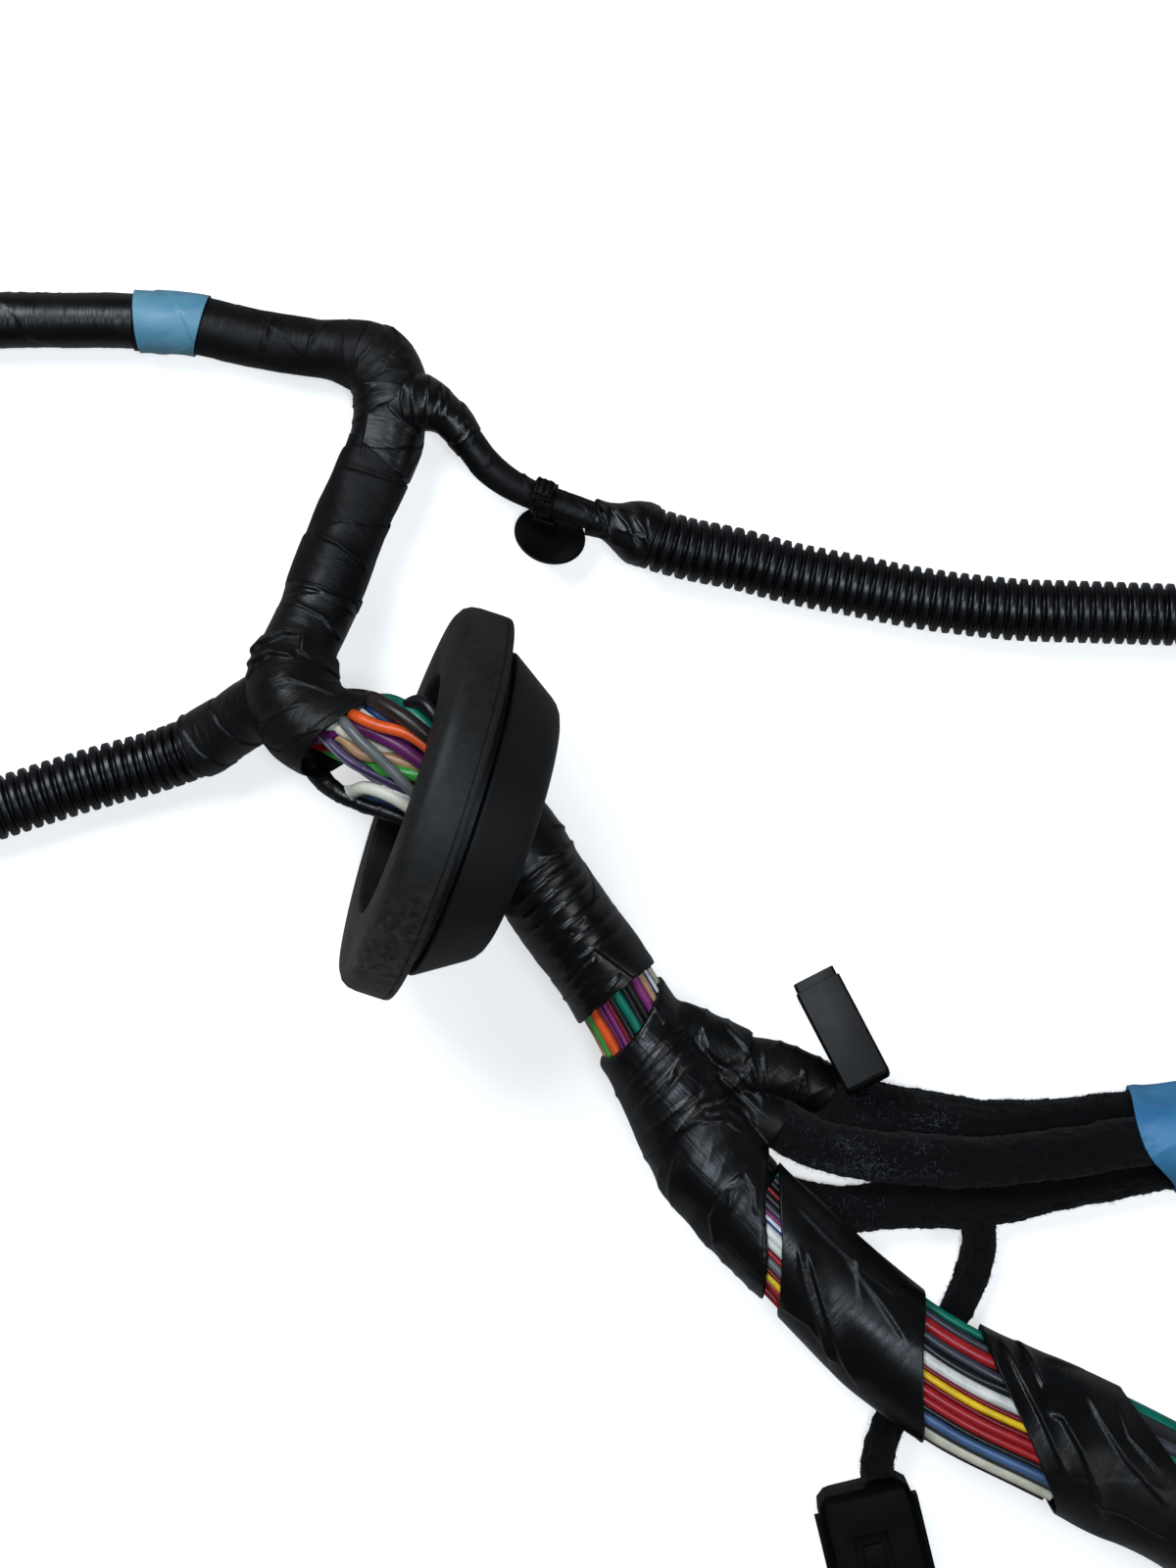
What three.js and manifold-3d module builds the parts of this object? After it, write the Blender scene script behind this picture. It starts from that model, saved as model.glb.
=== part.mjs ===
// Wiring harness lying on a table, with a bulkhead grommet standing on its rim.
// Millimetres, +Z up, +X to the right of the photo, +Y to the top of the photo.
import * as THREE from 'three';
import Module from 'manifold-3d';

const wasm = await Module();
wasm.setup();

// Shared clearances
const gap = 0.3;
const tapeWall = 1.2;
const wireSlack = 0.6;

// Wires
const wireRadius = 1.6;
const wireSides = 8;
const wireStep = 10.4;

// Trunk, as distances along the main route
const bandStart = 50;
const bandLength = 17;
const cornerAt = 106;
const elbowStart = 192;
const mouthAt = 223;
const pocketDepth = 8;
const mouthPinch = 0.7;
const neckStart = 268;
const windowOneAt = 319.5;
const windowOneLength = 10.5;
const windowTwoAt = 391.5;
const windowTwoLength = 5;
const windowThreeAt = 443;
const windowThreeLength = 26;
const trunkEnd = 526;

// Trunk radii
const branchRadius = 7;
const upperTrunkRadius = 9.4;
const elbowRadius = 12;
const neckRadius = 11.7;
const lowerTrunkRadius = 13.5;
const endTrunkRadius = 17.4;

// Grommet
const flangeRadius = 48;
const flangeThick = 15;
const flangeRound = 3.6;
const holeRadius = 30.4;
const grooveWidth = 2.4;
const grooveDepth = 3;
const coneFrontRadius = 41.5;
const coneBackRadius = 31.5;
const coneLength = 14;
const backWall = 3;
const grommetTilt = 8;
const grommetTurn = 18.2;
const grommetSides = 40;

// Convoluted conduit
const conduitRadius = 7.9;
const ridgeDepth = 1.3;
const ridgePitch = 3.1;
const conduitSides = 8;

// Other branches
const fleeceRadius = 6.1;
const stubWall = 0.7;
const webRadius = 6.5;
const knotRadius = 5.2;
const sideBranchRadius = 4;
const dropRadius = 4.4;
const strandRadius = 2.4;
const sleeveRadius = 8.7;

// Clip on the side branch
const discRadius = 8.8;
const discThick = 1.3;
const stalkLength = 8.4;
const tieWidth = 4.6;
const tieThick = 1.1;
const tieHead = 5.6;

// Connectors
const blockWidth = 12;
const blockLength = 30.5;
const blockHeight = 8;
const dropPlugWidth = 24;
const dropPlugLength = 36;
const dropPlugHeight = 19;
const latchDepth = 2.4;
const plugLength = 24;
const smallPlugWidth = 24;
const smallPlugHeight = 17;
const fleecePlugWidth = 38;
const fleecePlugHeight = 26.4;
const trunkPlugWidth = 40;
const trunkPlugHeight = 36.8;

// Hand-chosen route points
const mainRoute = [
  [-164.3, 116.6, 8], [-148.9, 117.4, 8], [-134, 117.4, 8], [-116.6, 117.2, 8],
  [-99.2, 116.2, 8], [-83.8, 112.5, 8.2], [-70.7, 110.4, 8.6], [-61.5, 109.2, 9.6],
  [-54, 106.4, 10.4], [-50.2, 99.7, 10.8], [-50.2, 89, 11], [-55.2, 76.6, 12],
  [-60.3, 64.2, 12.5], [-64.8, 51.8, 14], [-68.6, 41.3, 17], [-72.4, 31.8, 21],
  [-73.4, 22.4, 25], [-68.9, 15.1, 29], [-61.4, 11.6, 33], [-50.5, 8.2, 38],
  [-39, 3.6, 42], [-27.5, -4.8, 43.5], [-18.7, -13.4, 43.5], [-12.4, -22.8, 42],
  [-5.5, -33.4, 38], [2.7, -44.5, 33.5], [8.2, -53.3, 31], [13.9, -63.2, 29],
  [21.9, -77.4, 27], [29.2, -92, 26.2], [37.5, -102.8, 26], [48.7, -113.8, 26],
  [63.8, -128.6, 26], [78.4, -141.3, 26], [93.5, -151, 26], [113, -160.2, 25.5],
  [134.9, -171.1, 23.4], [153.1, -180.9, 20.6], [169.6, -189.8, 18.8],
];
const sideRoute = [
  [-48.9, 95.3, 12], [-41.9, 95.7, 13.5], [-35.2, 92.3, 14.8], [-30.3, 86.4, 15.8],
  [-25.6, 80.3, 16.8], [-20.1, 75.6, 17.5], [-14.5, 72.6, 18], [-9.8, 70.9, 18],
  [-4.2, 69, 17.4], [0.7, 67.2, 16.6], [5.4, 65.8, 15.6], [10.3, 64, 14.6],
  [16.8, 61.6, 13.2], [24.7, 59.4, 11.6], [37.9, 56.8, 9.5], [52.1, 53.2, 8.2],
  [66.5, 50.4, 8], [80.6, 47.6, 8], [95, 45.5, 8], [109.1, 44.1, 8],
  [123.5, 43.6, 8], [136.4, 43.2, 8], [148.8, 42.8, 8], [164.2, 42.2, 8],
];
const leftRoute = [
  [-74.5, 22.6, 24], [-80.2, 20.3, 21.5], [-85.4, 17.7, 18], [-91.7, 13.6, 14],
  [-98.7, 9.6, 11], [-108.8, 5.9, 8.6], [-122.3, 2.2, 8], [-135.4, -1.7, 8],
  [-148.8, -6, 8], [-164.2, -10.7, 8],
];
const fleeceRoutes = [
  [
    [24, -74, 27], [33.6, -71, 26], [42.7, -70, 24], [51.9, -73.2, 19.4],
    [61.6, -77.8, 13], [73.1, -81.8, 8.2], [86.9, -84.6, 6.4], [101.8, -86.4, 6.4],
    [119.2, -86, 6.4], [136.6, -84.2, 6.4], [149, -82.6, 6.4], [164.4, -81.2, 6.4],
  ],
  [
    [24, -76, 25], [35.4, -78.6, 23.5], [45.2, -84.8, 22], [56.4, -91.3, 18.5],
    [68.9, -94.2, 16], [86.2, -95, 15.3], [100.8, -94.9, 16.5], [117.9, -92.8, 17.9],
    [134.9, -90, 18.7], [147.2, -88.3, 18.8], [164.4, -87, 18.8],
  ],
  [
    [31, -88, 19], [39.5, -97, 12.5], [48.3, -104, 8], [60, -107.4, 6.4],
    [74.5, -106.8, 6.4], [86.9, -106.3, 6.4], [101.8, -105.5, 6.4], [119.2, -102.2, 6.4],
    [136.6, -98, 6.4], [149, -96.2, 6.4], [164.4, -95, 6.4],
  ],
];
const dropRoute = [
  [98.8, -109, 6.5], [99.2, -115.4, 5], [97.9, -122.4, 4.6], [94.7, -130.6, 4.6],
  [89.6, -139.8, 4.6], [83.3, -149.7, 4.6], [77.6, -159.2, 5.6], [74, -167.6, 8.2],
  [73.2, -171.6, 9.3], [73.4, -175, 9.5],
];
const strandRoute = [
  [-66.5, 5.4, 21], [-63, 1.2, 25.5], [-57.4, -3.4, 28.5], [-50.4, -7.2, 30.5],
  [-42, -9.4, 31.5], [-33, -11, 31.6], [-29.5, -11.6, 31.6],
];
const blockWireRoutes = [
  [[51, -66.6, 30.6], [56.5, -69.6, 29.4], [61.4, -72.8, 26.4], [65.4, -75.4, 23.4]],
  [[54.5, -64, 28], [60.5, -67.6, 29.2], [66, -71.6, 27.2], [69.2, -74.4, 23.6]],
];
const webRoute = [[14, -59, 29.5], [22, -60.5, 29], [30, -64, 28], [38, -67.5, 26.6]];
const grommetFace = [-45.2, -2.1, 49.4];

const up = new THREE.Vector3(0, 0, 1);

// Shape helpers
function vector(point) {
  return new THREE.Vector3(point[0], point[1], point[2]);
}

function rail(points) {
  const curve = new THREE.CatmullRomCurve3(points, false, 'centripetal');
  curve.arcLengthDivisions = 600;
  return { curve, length: curve.getLength() };
}

function frameAt(line, distance) {
  const share = Math.min(Math.max(distance / line.length, 0), 1);
  const centre = line.curve.getPointAt(share);
  const along = line.curve.getTangentAt(share).normalize();
  const side = new THREE.Vector3().crossVectors(along, up).normalize();
  const over = new THREE.Vector3().crossVectors(side, along).normalize();
  return { centre, along, side, over };
}

function skin(rings, loop = false) {
  const positions = [];
  const starts = [];
  for (const ring of rings) {
    starts.push(positions.length / 3);
    for (const point of ring) positions.push(point.x, point.y, point.z);
  }
  const faces = [];
  const spans = loop ? rings.length : rings.length - 1;
  for (let k = 0; k < spans; k += 1) {
    const next = (k + 1) % rings.length;
    const ringA = rings[k].length > 1;
    const ringB = rings[next].length > 1;
    const count = Math.max(rings[k].length, rings[next].length);
    for (let i = 0; i < count; i += 1) {
      const j = (i + 1) % count;
      const a = starts[k];
      const b = starts[next];
      if (ringA) faces.push(a + i, a + j, ringB ? b + j : b);
      if (ringB) faces.push(ringA ? a + i : a, b + j, b + i);
    }
  }
  const geometry = new THREE.BufferGeometry();
  geometry.setAttribute('position', new THREE.Float32BufferAttribute(positions, 3));
  geometry.setIndex(faces);
  return outward(geometry);
}

function outward(geometry) {
  const at = geometry.getAttribute('position');
  const faces = geometry.getIndex().array;
  const [a, b, c] = [new THREE.Vector3(), new THREE.Vector3(), new THREE.Vector3()];
  let volume = 0;
  for (let i = 0; i < faces.length; i += 3) {
    a.fromBufferAttribute(at, faces[i]);
    b.fromBufferAttribute(at, faces[i + 1]);
    c.fromBufferAttribute(at, faces[i + 2]);
    volume += a.dot(b.cross(c));
  }
  if (volume < 0) {
    for (let i = 0; i < faces.length; i += 3) {
      const kept = faces[i + 1];
      faces[i + 1] = faces[i + 2];
      faces[i + 2] = kept;
    }
  }
  return geometry;
}

function ringAt(frame, radius, sides) {
  const ring = [];
  for (let i = 0; i < sides; i += 1) {
    const angle = (Math.PI * (2 * i + 1)) / sides;
    const point = frame.centre.clone();
    point.addScaledVector(frame.side, radius * Math.cos(angle));
    point.addScaledVector(frame.over, radius * Math.sin(angle));
    ring.push(point);
  }
  return ring;
}

function stations(from, to, step) {
  const count = Math.max(1, Math.round((to - from) / step));
  const list = [];
  for (let i = 0; i <= count; i += 1) list.push(from + ((to - from) * i) / count);
  return list;
}

function solidRod(line, list, radiusAt, sides) {
  const rings = list.map((s) => ringAt(frameAt(line, s), radiusAt(s), sides));
  const first = frameAt(line, list[0]).centre;
  const last = frameAt(line, list[list.length - 1]).centre;
  return skin([[first], ...rings, [last]]);
}

function sleeve(line, list, outerAt, innerAt, sides) {
  const outer = list.map((s) => ringAt(frameAt(line, s), outerAt(s), sides));
  const inner = list.map((s) => ringAt(frameAt(line, s), innerAt(s), sides)).reverse();
  return skin([...outer, ...inner], true);
}

function revolve(profile, sides, place) {
  const rings = profile.map(([radius, depth]) => {
    if (radius < 1e-6) return [new THREE.Vector3(0, 0, depth).applyMatrix4(place)];
    const ring = [];
    for (let i = 0; i < sides; i += 1) {
      const angle = (2 * Math.PI * i) / sides;
      const point = new THREE.Vector3(radius * Math.cos(angle), radius * Math.sin(angle), depth);
      ring.push(point.applyMatrix4(place));
    }
    return ring;
  });
  return skin(rings, profile[0][0] > 1e-6);
}

// A housing is a chamfered box drawn section by section along its own x axis
function housing(sections, chamfer, place) {
  const rings = sections.map(([x, width, height]) => {
    const w = width / 2;
    const h = height / 2;
    const c = Math.min(chamfer, w / 2, h / 2);
    const outline = [
      [w, h - c], [w - c, h], [c - w, h], [-w, h - c],
      [-w, c - h], [c - w, -h], [w - c, -h], [w, c - h],
    ];
    return outline.map(([y, z]) => new THREE.Vector3(x, y, z).applyMatrix4(place));
  });
  const first = new THREE.Vector3(sections[0][0], 0, 0).applyMatrix4(place);
  const last = new THREE.Vector3(sections[sections.length - 1][0], 0, 0).applyMatrix4(place);
  return skin([[first], ...rings, [last]]);
}

function box(length, width, height, x, y, z, place) {
  const shift = place.clone().multiply(new THREE.Matrix4().makeTranslation(x, y, z));
  return housing([[-length / 2, width, height], [length / 2, width, height]], 0.01, shift);
}

function solid(geometry) {
  const mesh = new wasm.Mesh({
    numProp: 3,
    vertProperties: new Float32Array(geometry.getAttribute('position').array),
    triVerts: new Uint32Array(geometry.getIndex().array),
  });
  mesh.merge();
  return new wasm.Manifold(mesh);
}

function shape(body) {
  const mesh = body.getMesh();
  const positions = [];
  for (let i = 0; i < mesh.vertProperties.length; i += mesh.numProp) {
    positions.push(...mesh.vertProperties.slice(i, i + 3));
  }
  const geometry = new THREE.BufferGeometry();
  geometry.setAttribute('position', new THREE.Float32BufferAttribute(positions, 3));
  geometry.setIndex(Array.from(mesh.triVerts));
  return geometry;
}

function largest(body) {
  return body.decompose().sort((a, b) => b.volume() - a.volume())[0];
}

function smooth(from, to, value) {
  const share = Math.min(Math.max((value - from) / (to - from), 0), 1);
  return share * share * (3 - 2 * share);
}

function placeAt(centre, alongX, upZ) {
  const x = alongX.clone().normalize();
  const z = upZ.clone().addScaledVector(x, -upZ.dot(x)).normalize();
  const y = new THREE.Vector3().crossVectors(z, x);
  return new THREE.Matrix4().makeBasis(x, y, z).setPosition(centre);
}

// Nodes
const parts = new THREE.Group();
parts.name = 'wiring_harness';

function add(name, geometry, color, roughness = 0.5, metalness = 0) {
  const material = new THREE.MeshStandardMaterial({ color, roughness, metalness });
  material.name = name;
  const flat = geometry.clone();
  flat.computeVertexNormals();
  const mesh = new THREE.Mesh(flat, material);
  mesh.name = name;
  parts.add(mesh);
}

const glossTape = '#141416';
const matteTape = '#1d1d1f';
const fleeceBlack = '#17171a';
const rubberBlack = '#2b2c2e';
const plasticBlack = '#1a1b1d';
const paleBlue = '#6aa0b8';
const deepBlue = '#4a86b0';

const main = rail(mainRoute.map(vector));
const sideLine = rail(sideRoute.map(vector));
const leftLine = rail(leftRoute.map(vector));

// Trunk outline along the main route, and the places that follow from it
function trunkRadius(s) {
  const upper = branchRadius + (upperTrunkRadius - branchRadius) * smooth(cornerAt - 10, cornerAt + 8, s);
  const elbow = (elbowRadius - upperTrunkRadius) * smooth(elbowStart - 6, elbowStart + 14, s);
  const mouthShare = 0.25 * smooth(mouthAt - 10, mouthAt, s);
  if (s <= mouthAt) return upper + elbow - (elbowRadius - upperTrunkRadius) * mouthShare;
  const grown = smooth(windowOneAt + windowOneLength - 4, windowTwoAt - 30, s);
  const swollen = smooth(windowTwoAt - 6, windowThreeAt + windowThreeLength + 20, s);
  const lower = neckRadius + (lowerTrunkRadius - neckRadius) * grown;
  return lower + (endTrunkRadius - lowerTrunkRadius) * swollen;
}

function wireRing(s) {
  const pinch = mouthPinch * (1 - smooth(mouthAt + 3, mouthAt + 20, s));
  return trunkRadius(s) - tapeWall - wireSlack - wireRadius - pinch;
}

function coreRadius(s) {
  return wireRing(s) - wireRadius - gap;
}

// Upper branch, its pale blue band and the upper trunk
add('upper_branch', solidRod(main, stations(4, cornerAt, 8), trunkRadius, 12), glossTape, 0.35);
add('upper_blue_band', sleeve(main, stations(bandStart, bandStart + bandLength, 8),
  () => branchRadius + gap + 0.6, () => branchRadius + gap, 12), paleBlue, 0.45);

// Elbow wrap, open at the mouth where the wires come out, with the left branch joined on
const elbowList = stations(elbowStart, mouthAt, 6);
const pocketStart = mouthAt - pocketDepth;
const stubLength = 15;
const elbowBody = solid(solidRod(main, elbowList, trunkRadius, 14))
  .add(solid(solidRod(leftLine, stations(0.5, stubLength, 5), () => sleeveRadius, 12)));
const pocket = solid(solidRod(main, stations(pocketStart, mouthAt + 4, 4),
  (s) => trunkRadius(Math.min(s, mouthAt)) - tapeWall, 14));
add('elbow_wrap', shape(elbowBody.subtract(pocket)), matteTape, 0.45);

// The upper trunk is cut short of the side branch and of the elbow
const sideStart = 9.5;
const trunkRod = solid(solidRod(main, stations(cornerAt + gap, elbowStart - gap, 7), trunkRadius, 14));
add('upper_trunk', shape(trunkRod), matteTape, 0.45);

// Left branch: taped stretch and convoluted conduit
function ridgeCount(from, to) {
  return Math.floor((to - from) / ridgePitch);
}

function conduit(line, from, to) {
  const list = [];
  const count = ridgeCount(from, to);
  for (let i = 0; i < count; i += 1) {
    const s = from + i * ridgePitch;
    list.push([s, conduitRadius - ridgeDepth]);
    list.push([s + ridgePitch * 0.26, conduitRadius]);
    list.push([s + ridgePitch * 0.74, conduitRadius]);
  }
  list.push([from + count * ridgePitch, conduitRadius - ridgeDepth]);
  const rings = list.map(([s, r]) => ringAt(frameAt(line, s), r, conduitSides));
  const first = frameAt(line, list[0][0]).centre;
  const last = frameAt(line, list[list.length - 1][0]).centre;
  return skin([[first], ...rings, [last]]);
}

const leftTapeEnd = 30;
add('left_branch_tape', solidRod(leftLine, stations(stubLength + gap, leftTapeEnd, 5),
  () => sleeveRadius - 0.3, 12), glossTape, 0.35);
add('left_conduit', conduit(leftLine, leftTapeEnd + gap, leftLine.length - 4), plasticBlack, 0.38);

// Side branch: wrinkled knot, tape, end sleeve and convoluted conduit
function sideRadius(s) {
  const knot = (knotRadius - sideBranchRadius) * (1 - smooth(10, 22, s));
  return sideBranchRadius + knot - 0.5 * smooth(30, 46, s);
}

const sleeveStart = 62;
const sleeveLength = 13;
const conduitStart = sleeveStart + sleeveLength + gap;
const trunkClear = solid(solidRod(main, stations(cornerAt, 150, 7), (s) => trunkRadius(s) + gap, 14));
const sideRod = solid(solidRod(sideLine, stations(1, sleeveStart - gap, 5), sideRadius, 10));
add('side_branch', shape(sideRod.subtract(trunkClear)), glossTape, 0.35);
add('conduit_end_sleeve', solidRod(sideLine, stations(sleeveStart, sleeveStart + sleeveLength, 4.5),
  (s) => sleeveRadius - 0.4 - 3.2 * (1 - smooth(sleeveStart - 2, sleeveStart + 11, s)), 12), matteTape, 0.45);
add('right_conduit', conduit(sideLine, conduitStart, sideLine.length - 4), plasticBlack, 0.38);

// Cable tie and umbrella clip on the side branch
const tieAt = 48;
const tieFrame = frameAt(sideLine, tieAt);
const tieInner = sideRadius(tieAt - tieWidth) + gap + 0.1;
const tieOuter = tieInner + tieThick;
const tieBand = sleeve(sideLine, stations(tieAt - tieWidth / 2, tieAt + tieWidth / 2, 3),
  () => tieOuter, () => tieInner, 12);
const stalkWay = new THREE.Vector3(0.06, -0.61, -0.79).normalize();
const headWay = stalkWay.clone().negate();
const headPlace = placeAt(tieFrame.centre.clone().addScaledVector(headWay, tieOuter + 1.6),
  tieFrame.along, headWay);
const tieHeadBody = solid(housing([
  [-tieHead / 2, tieHead - 1, 3.4], [-tieHead / 2 + 0.8, tieHead, 4.2],
  [tieHead / 2 - 0.8, tieHead, 4.2], [tieHead / 2, tieHead - 1, 3.4],
], 0.6, headPlace));
const tieSlot = solid(box(1.6, tieHead * 0.62, 1.4, 0, 0, 2.1, headPlace));
const tieRing = solid(tieBand);
const tieKeepOut = solid(solidRod(sideLine, stations(tieAt - 8, tieAt + 8, 3),
  (s) => Math.max(tieInner - 0.05, sideRadius(s) + gap), 12));
add('cable_tie', shape(tieRing.add(tieHeadBody.subtract(tieKeepOut)).subtract(tieSlot)), plasticBlack, 0.5);

const discCentre = tieFrame.centre.clone().addScaledVector(stalkWay, tieOuter + gap + stalkLength);
const discPlace = placeAt(discCentre, tieFrame.along, headWay);
const saddle = tieOuter + gap;
const discBody = solid(revolve([
  [0, 0], [discRadius - 2.5, 0], [discRadius, -discThick], [discRadius, -discThick - 0.9],
  [discRadius - 2.5, -discThick + 0.2], [2.6, -discThick], [1.6, -4.6], [0, -5],
], 20, discPlace));
const stalkBody = solid(box(2.4, 6.4, stalkLength, 0, 0, stalkLength / 2 - 0.2, discPlace));
const webBody = solid(box(5.4, 1.4, stalkLength, 0, 0, stalkLength / 2 - 0.2, discPlace));
const saddleCut = solid(solidRod(sideLine, stations(tieAt - 9, tieAt + 9, 3), () => saddle, 12));
add('umbrella_clip', shape(discBody.add(stalkBody).add(webBody).subtract(saddleCut)), plasticBlack, 0.5);

// Grommet: flange, groove, cone and back wall turned about one axis
const turn = THREE.MathUtils.degToRad(grommetTurn);
const tilt = THREE.MathUtils.degToRad(grommetTilt);
const axis = new THREE.Vector3(Math.cos(turn), -Math.sin(turn), -Math.tan(tilt)).normalize();
const face = vector(grommetFace);
const faceSide = new THREE.Vector3().crossVectors(axis, up).normalize();
const faceUp = new THREE.Vector3().crossVectors(faceSide, axis).normalize();
const facePlace = new THREE.Matrix4().makeBasis(faceSide, faceUp, axis).setPosition(face);
const grooveAt = flangeThick + grooveWidth;
const backAt = grooveAt + coneLength;
const grommetProfile = [
  [holeRadius + 1, 0], [flangeRadius - flangeRound, 0], [flangeRadius - 1, 1.1], [flangeRadius, flangeRound],
  [flangeRadius, flangeThick / 2 - 0.5], [flangeRadius + 0.35, flangeThick / 2],
  [flangeRadius, flangeThick / 2 + 0.5], [flangeRadius, flangeThick - flangeRound],
  [flangeRadius - 1, flangeThick - 1.1], [flangeRadius - flangeRound, flangeThick],
  [coneFrontRadius - grooveDepth, flangeThick], [coneFrontRadius - grooveDepth, grooveAt],
  [coneFrontRadius - 1.2, grooveAt], [coneFrontRadius, grooveAt + 1.6],
  [coneBackRadius + 1.4, backAt - 2.6], [coneBackRadius - 1.2, backAt], [0, backAt],
  [0, backAt - backWall], [coneBackRadius - 4.4, backAt - backWall],
  [holeRadius, grooveAt], [holeRadius, 1],
];
const axisStart = 16;
const grommetRings = [...grommetProfile.slice(axisStart + 1), ...grommetProfile.slice(0, axisStart + 1)];
const grommetCup = solid(revolve(grommetRings, grommetSides, facePlace));
const trunkPass = solid(solidRod(main, stations(neckStart - 6, windowOneAt, 6),
  (s) => trunkRadius(s) + gap + 0.1, 14));
add('grommet', shape(grommetCup.subtract(trunkPass)), rubberBlack, 0.62);

// Wires: a ring inside the tape, spreading into a two-layer fan where they are open
const wireColors = [
  ['teal', '#00806a'], ['brown', '#3a2a26'], ['white', '#d9dadb'], ['blue', '#2a4a80'],
  ['orange', '#e8602a'], ['purple', '#5a2058'], ['cream', '#d8d4c4'], ['tan', '#b98968'],
  ['light_green', '#4ca64c'], ['violet', '#4a3460'], ['white_blue', '#c4ccd8'],
  ['pale_cream', '#cfc9b4'], ['red', '#a02028'],
];
const fanHalf = 16.5;
const fanRise = 4.6;

function wirePoint(index, s) {
  const frame = frameAt(main, s);
  const topCount = Math.ceil(wireColors.length / 2);
  const onTop = index % 2 === 0;
  const place = Math.floor(index / 2);
  const step = onTop ? 180 / (topCount - 1) : 180 / topCount;
  const angle = THREE.MathUtils.degToRad(onTop ? 180 - place * step : 180 + (place + 1) * step);
  const ring = wireRing(s);
  const open = smooth(mouthAt + 1, mouthAt + 20, s) * (1 - smooth(neckStart - 23, neckStart - 5, s));
  const fanSide = fanHalf * ((2 * index) / (wireColors.length - 1) - 1);
  const fanOver = (onTop ? fanRise : -fanRise) - 0.012 * fanSide * fanSide * (onTop ? 1 : -0.4);
  const across = (1 - open) * ring * Math.cos(angle) + open * fanSide;
  const over = (1 - open) * ring * Math.sin(angle) + open * fanOver;
  return frame.centre.clone().addScaledVector(frame.side, across).addScaledVector(frame.over, over);
}

wireColors.forEach(([name, color], index) => {
  const points = stations(pocketStart + gap + 1, trunkEnd, wireStep).map((s) => wirePoint(index, s));
  const line = rail(points);
  add(`wire_${name}`, solidRod(line, stations(0, line.length, wireStep), () => wireRadius, wireSides), color, 0.4);
});

// The grey wire crosses over the fan, and a taped strand bows below it
const crossFrom = mouthAt + gap + wireRadius;
const crossTo = neckStart - gap - wireRadius;
const crossPoints = stations(crossFrom, crossTo, 7).map((s) => {
  const share = (s - crossFrom) / (crossTo - crossFrom);
  const frame = frameAt(main, s);
  const rest = wireRing(s) + 2 * wireRadius + wireSlack;
  const over = rest + (fanRise + 2 * wireRadius + wireSlack - rest) * Math.sin(Math.PI * share);
  return frame.centre.clone().addScaledVector(frame.over, over).addScaledVector(frame.side, 14 * share - 7);
});
const crossLine = rail(crossPoints);
const crossList = stations(0, crossLine.length, 6);
add('wire_grey_cross', solidRod(crossLine, crossList, () => wireRadius, wireSides), '#6e7272', 0.4);
const elbowClear = solid(solidRod(main, elbowList, (s) => trunkRadius(s) + gap, 14));
const leftClear = solid(solidRod(leftLine, stations(0.5, stubLength + 8, 5), () => sleeveRadius + gap, 12));
const strandLine = rail(strandRoute.map(vector));
const strandRod = solid(solidRod(strandLine, stations(0, strandLine.length, 5), () => strandRadius, wireSides));
add('taped_strand', shape(largest(strandRod.subtract(elbowClear).subtract(leftClear))), glossTape, 0.4);
add('bundle_core', solidRod(main, stations(neckStart + 4, trunkEnd, 9), coreRadius, 12), '#1c1c1f', 0.5);

// Tape wraps on the lower trunk, with the open windows between them
function wrap(name, from, to, color, roughness) {
  add(name, sleeve(main, stations(from, to, 7), trunkRadius, (s) => trunkRadius(s) - tapeWall, 16), color, roughness);
}

wrap('neck_wrap', neckStart, windowOneAt, glossTape, 0.35);

// Wrap round the junction, with a taped stub for each fleece branch
const junctionStart = windowOneAt + windowOneLength;
const junctionList = stations(junctionStart, windowTwoAt, 6.5);
const stubEnds = [28, 34, 24];
const fleeceLines = fleeceRoutes.map((route) => rail(route.map(vector)));
const innerClear = solid(solidRod(main, stations(junctionStart - 4, windowTwoAt + 4, 6.5),
  (s) => trunkRadius(s) - tapeWall, 16));
let junction = solid(solidRod(main, junctionList, trunkRadius, 16));
const webLine = rail(webRoute.map(vector));
junction = junction.add(solid(solidRod(webLine, stations(0, webLine.length, 6), () => webRadius, 10)));
fleeceLines.forEach((line, index) => {
  junction = junction.add(solid(solidRod(line, stations(1, stubEnds[index], 5.5),
    () => fleeceRadius + stubWall, 10)));
});
add('junction_wrap', shape(junction.subtract(innerClear)), glossTape, 0.35);
wrap('window_band', windowTwoAt + windowTwoLength, windowThreeAt, glossTape, 0.35);
wrap('lower_wrap', windowThreeAt + windowThreeLength, trunkEnd, glossTape, 0.35);

// Fleece branches, their blue wrap and the branch that drops under the trunk
const lowerClear = solid(solidRod(main, stations(windowOneAt, trunkEnd, 9), (s) => trunkRadius(s) + gap, 16));
const dropLine = rail(dropRoute.map(vector));
const dropClear = solid(solidRod(dropLine, stations(0, 12, 4), () => dropRadius + gap, 10));
const fleeceNames = ['fleece_top', 'fleece_middle', 'fleece_bottom'];
fleeceLines.forEach((line, index) => {
  let rod = solid(solidRod(line, stations(stubEnds[index] + gap, line.length - 3, 7.5), () => fleeceRadius, 10));
  if (index === 2) rod = rod.subtract(lowerClear).subtract(dropClear);
  add(fleeceNames[index], shape(rod), fleeceBlack, 0.95);
});
add('drop_branch', solidRod(dropLine, stations(0, dropLine.length - gap, 6), () => dropRadius, 10),
  fleeceBlack, 0.95);

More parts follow.
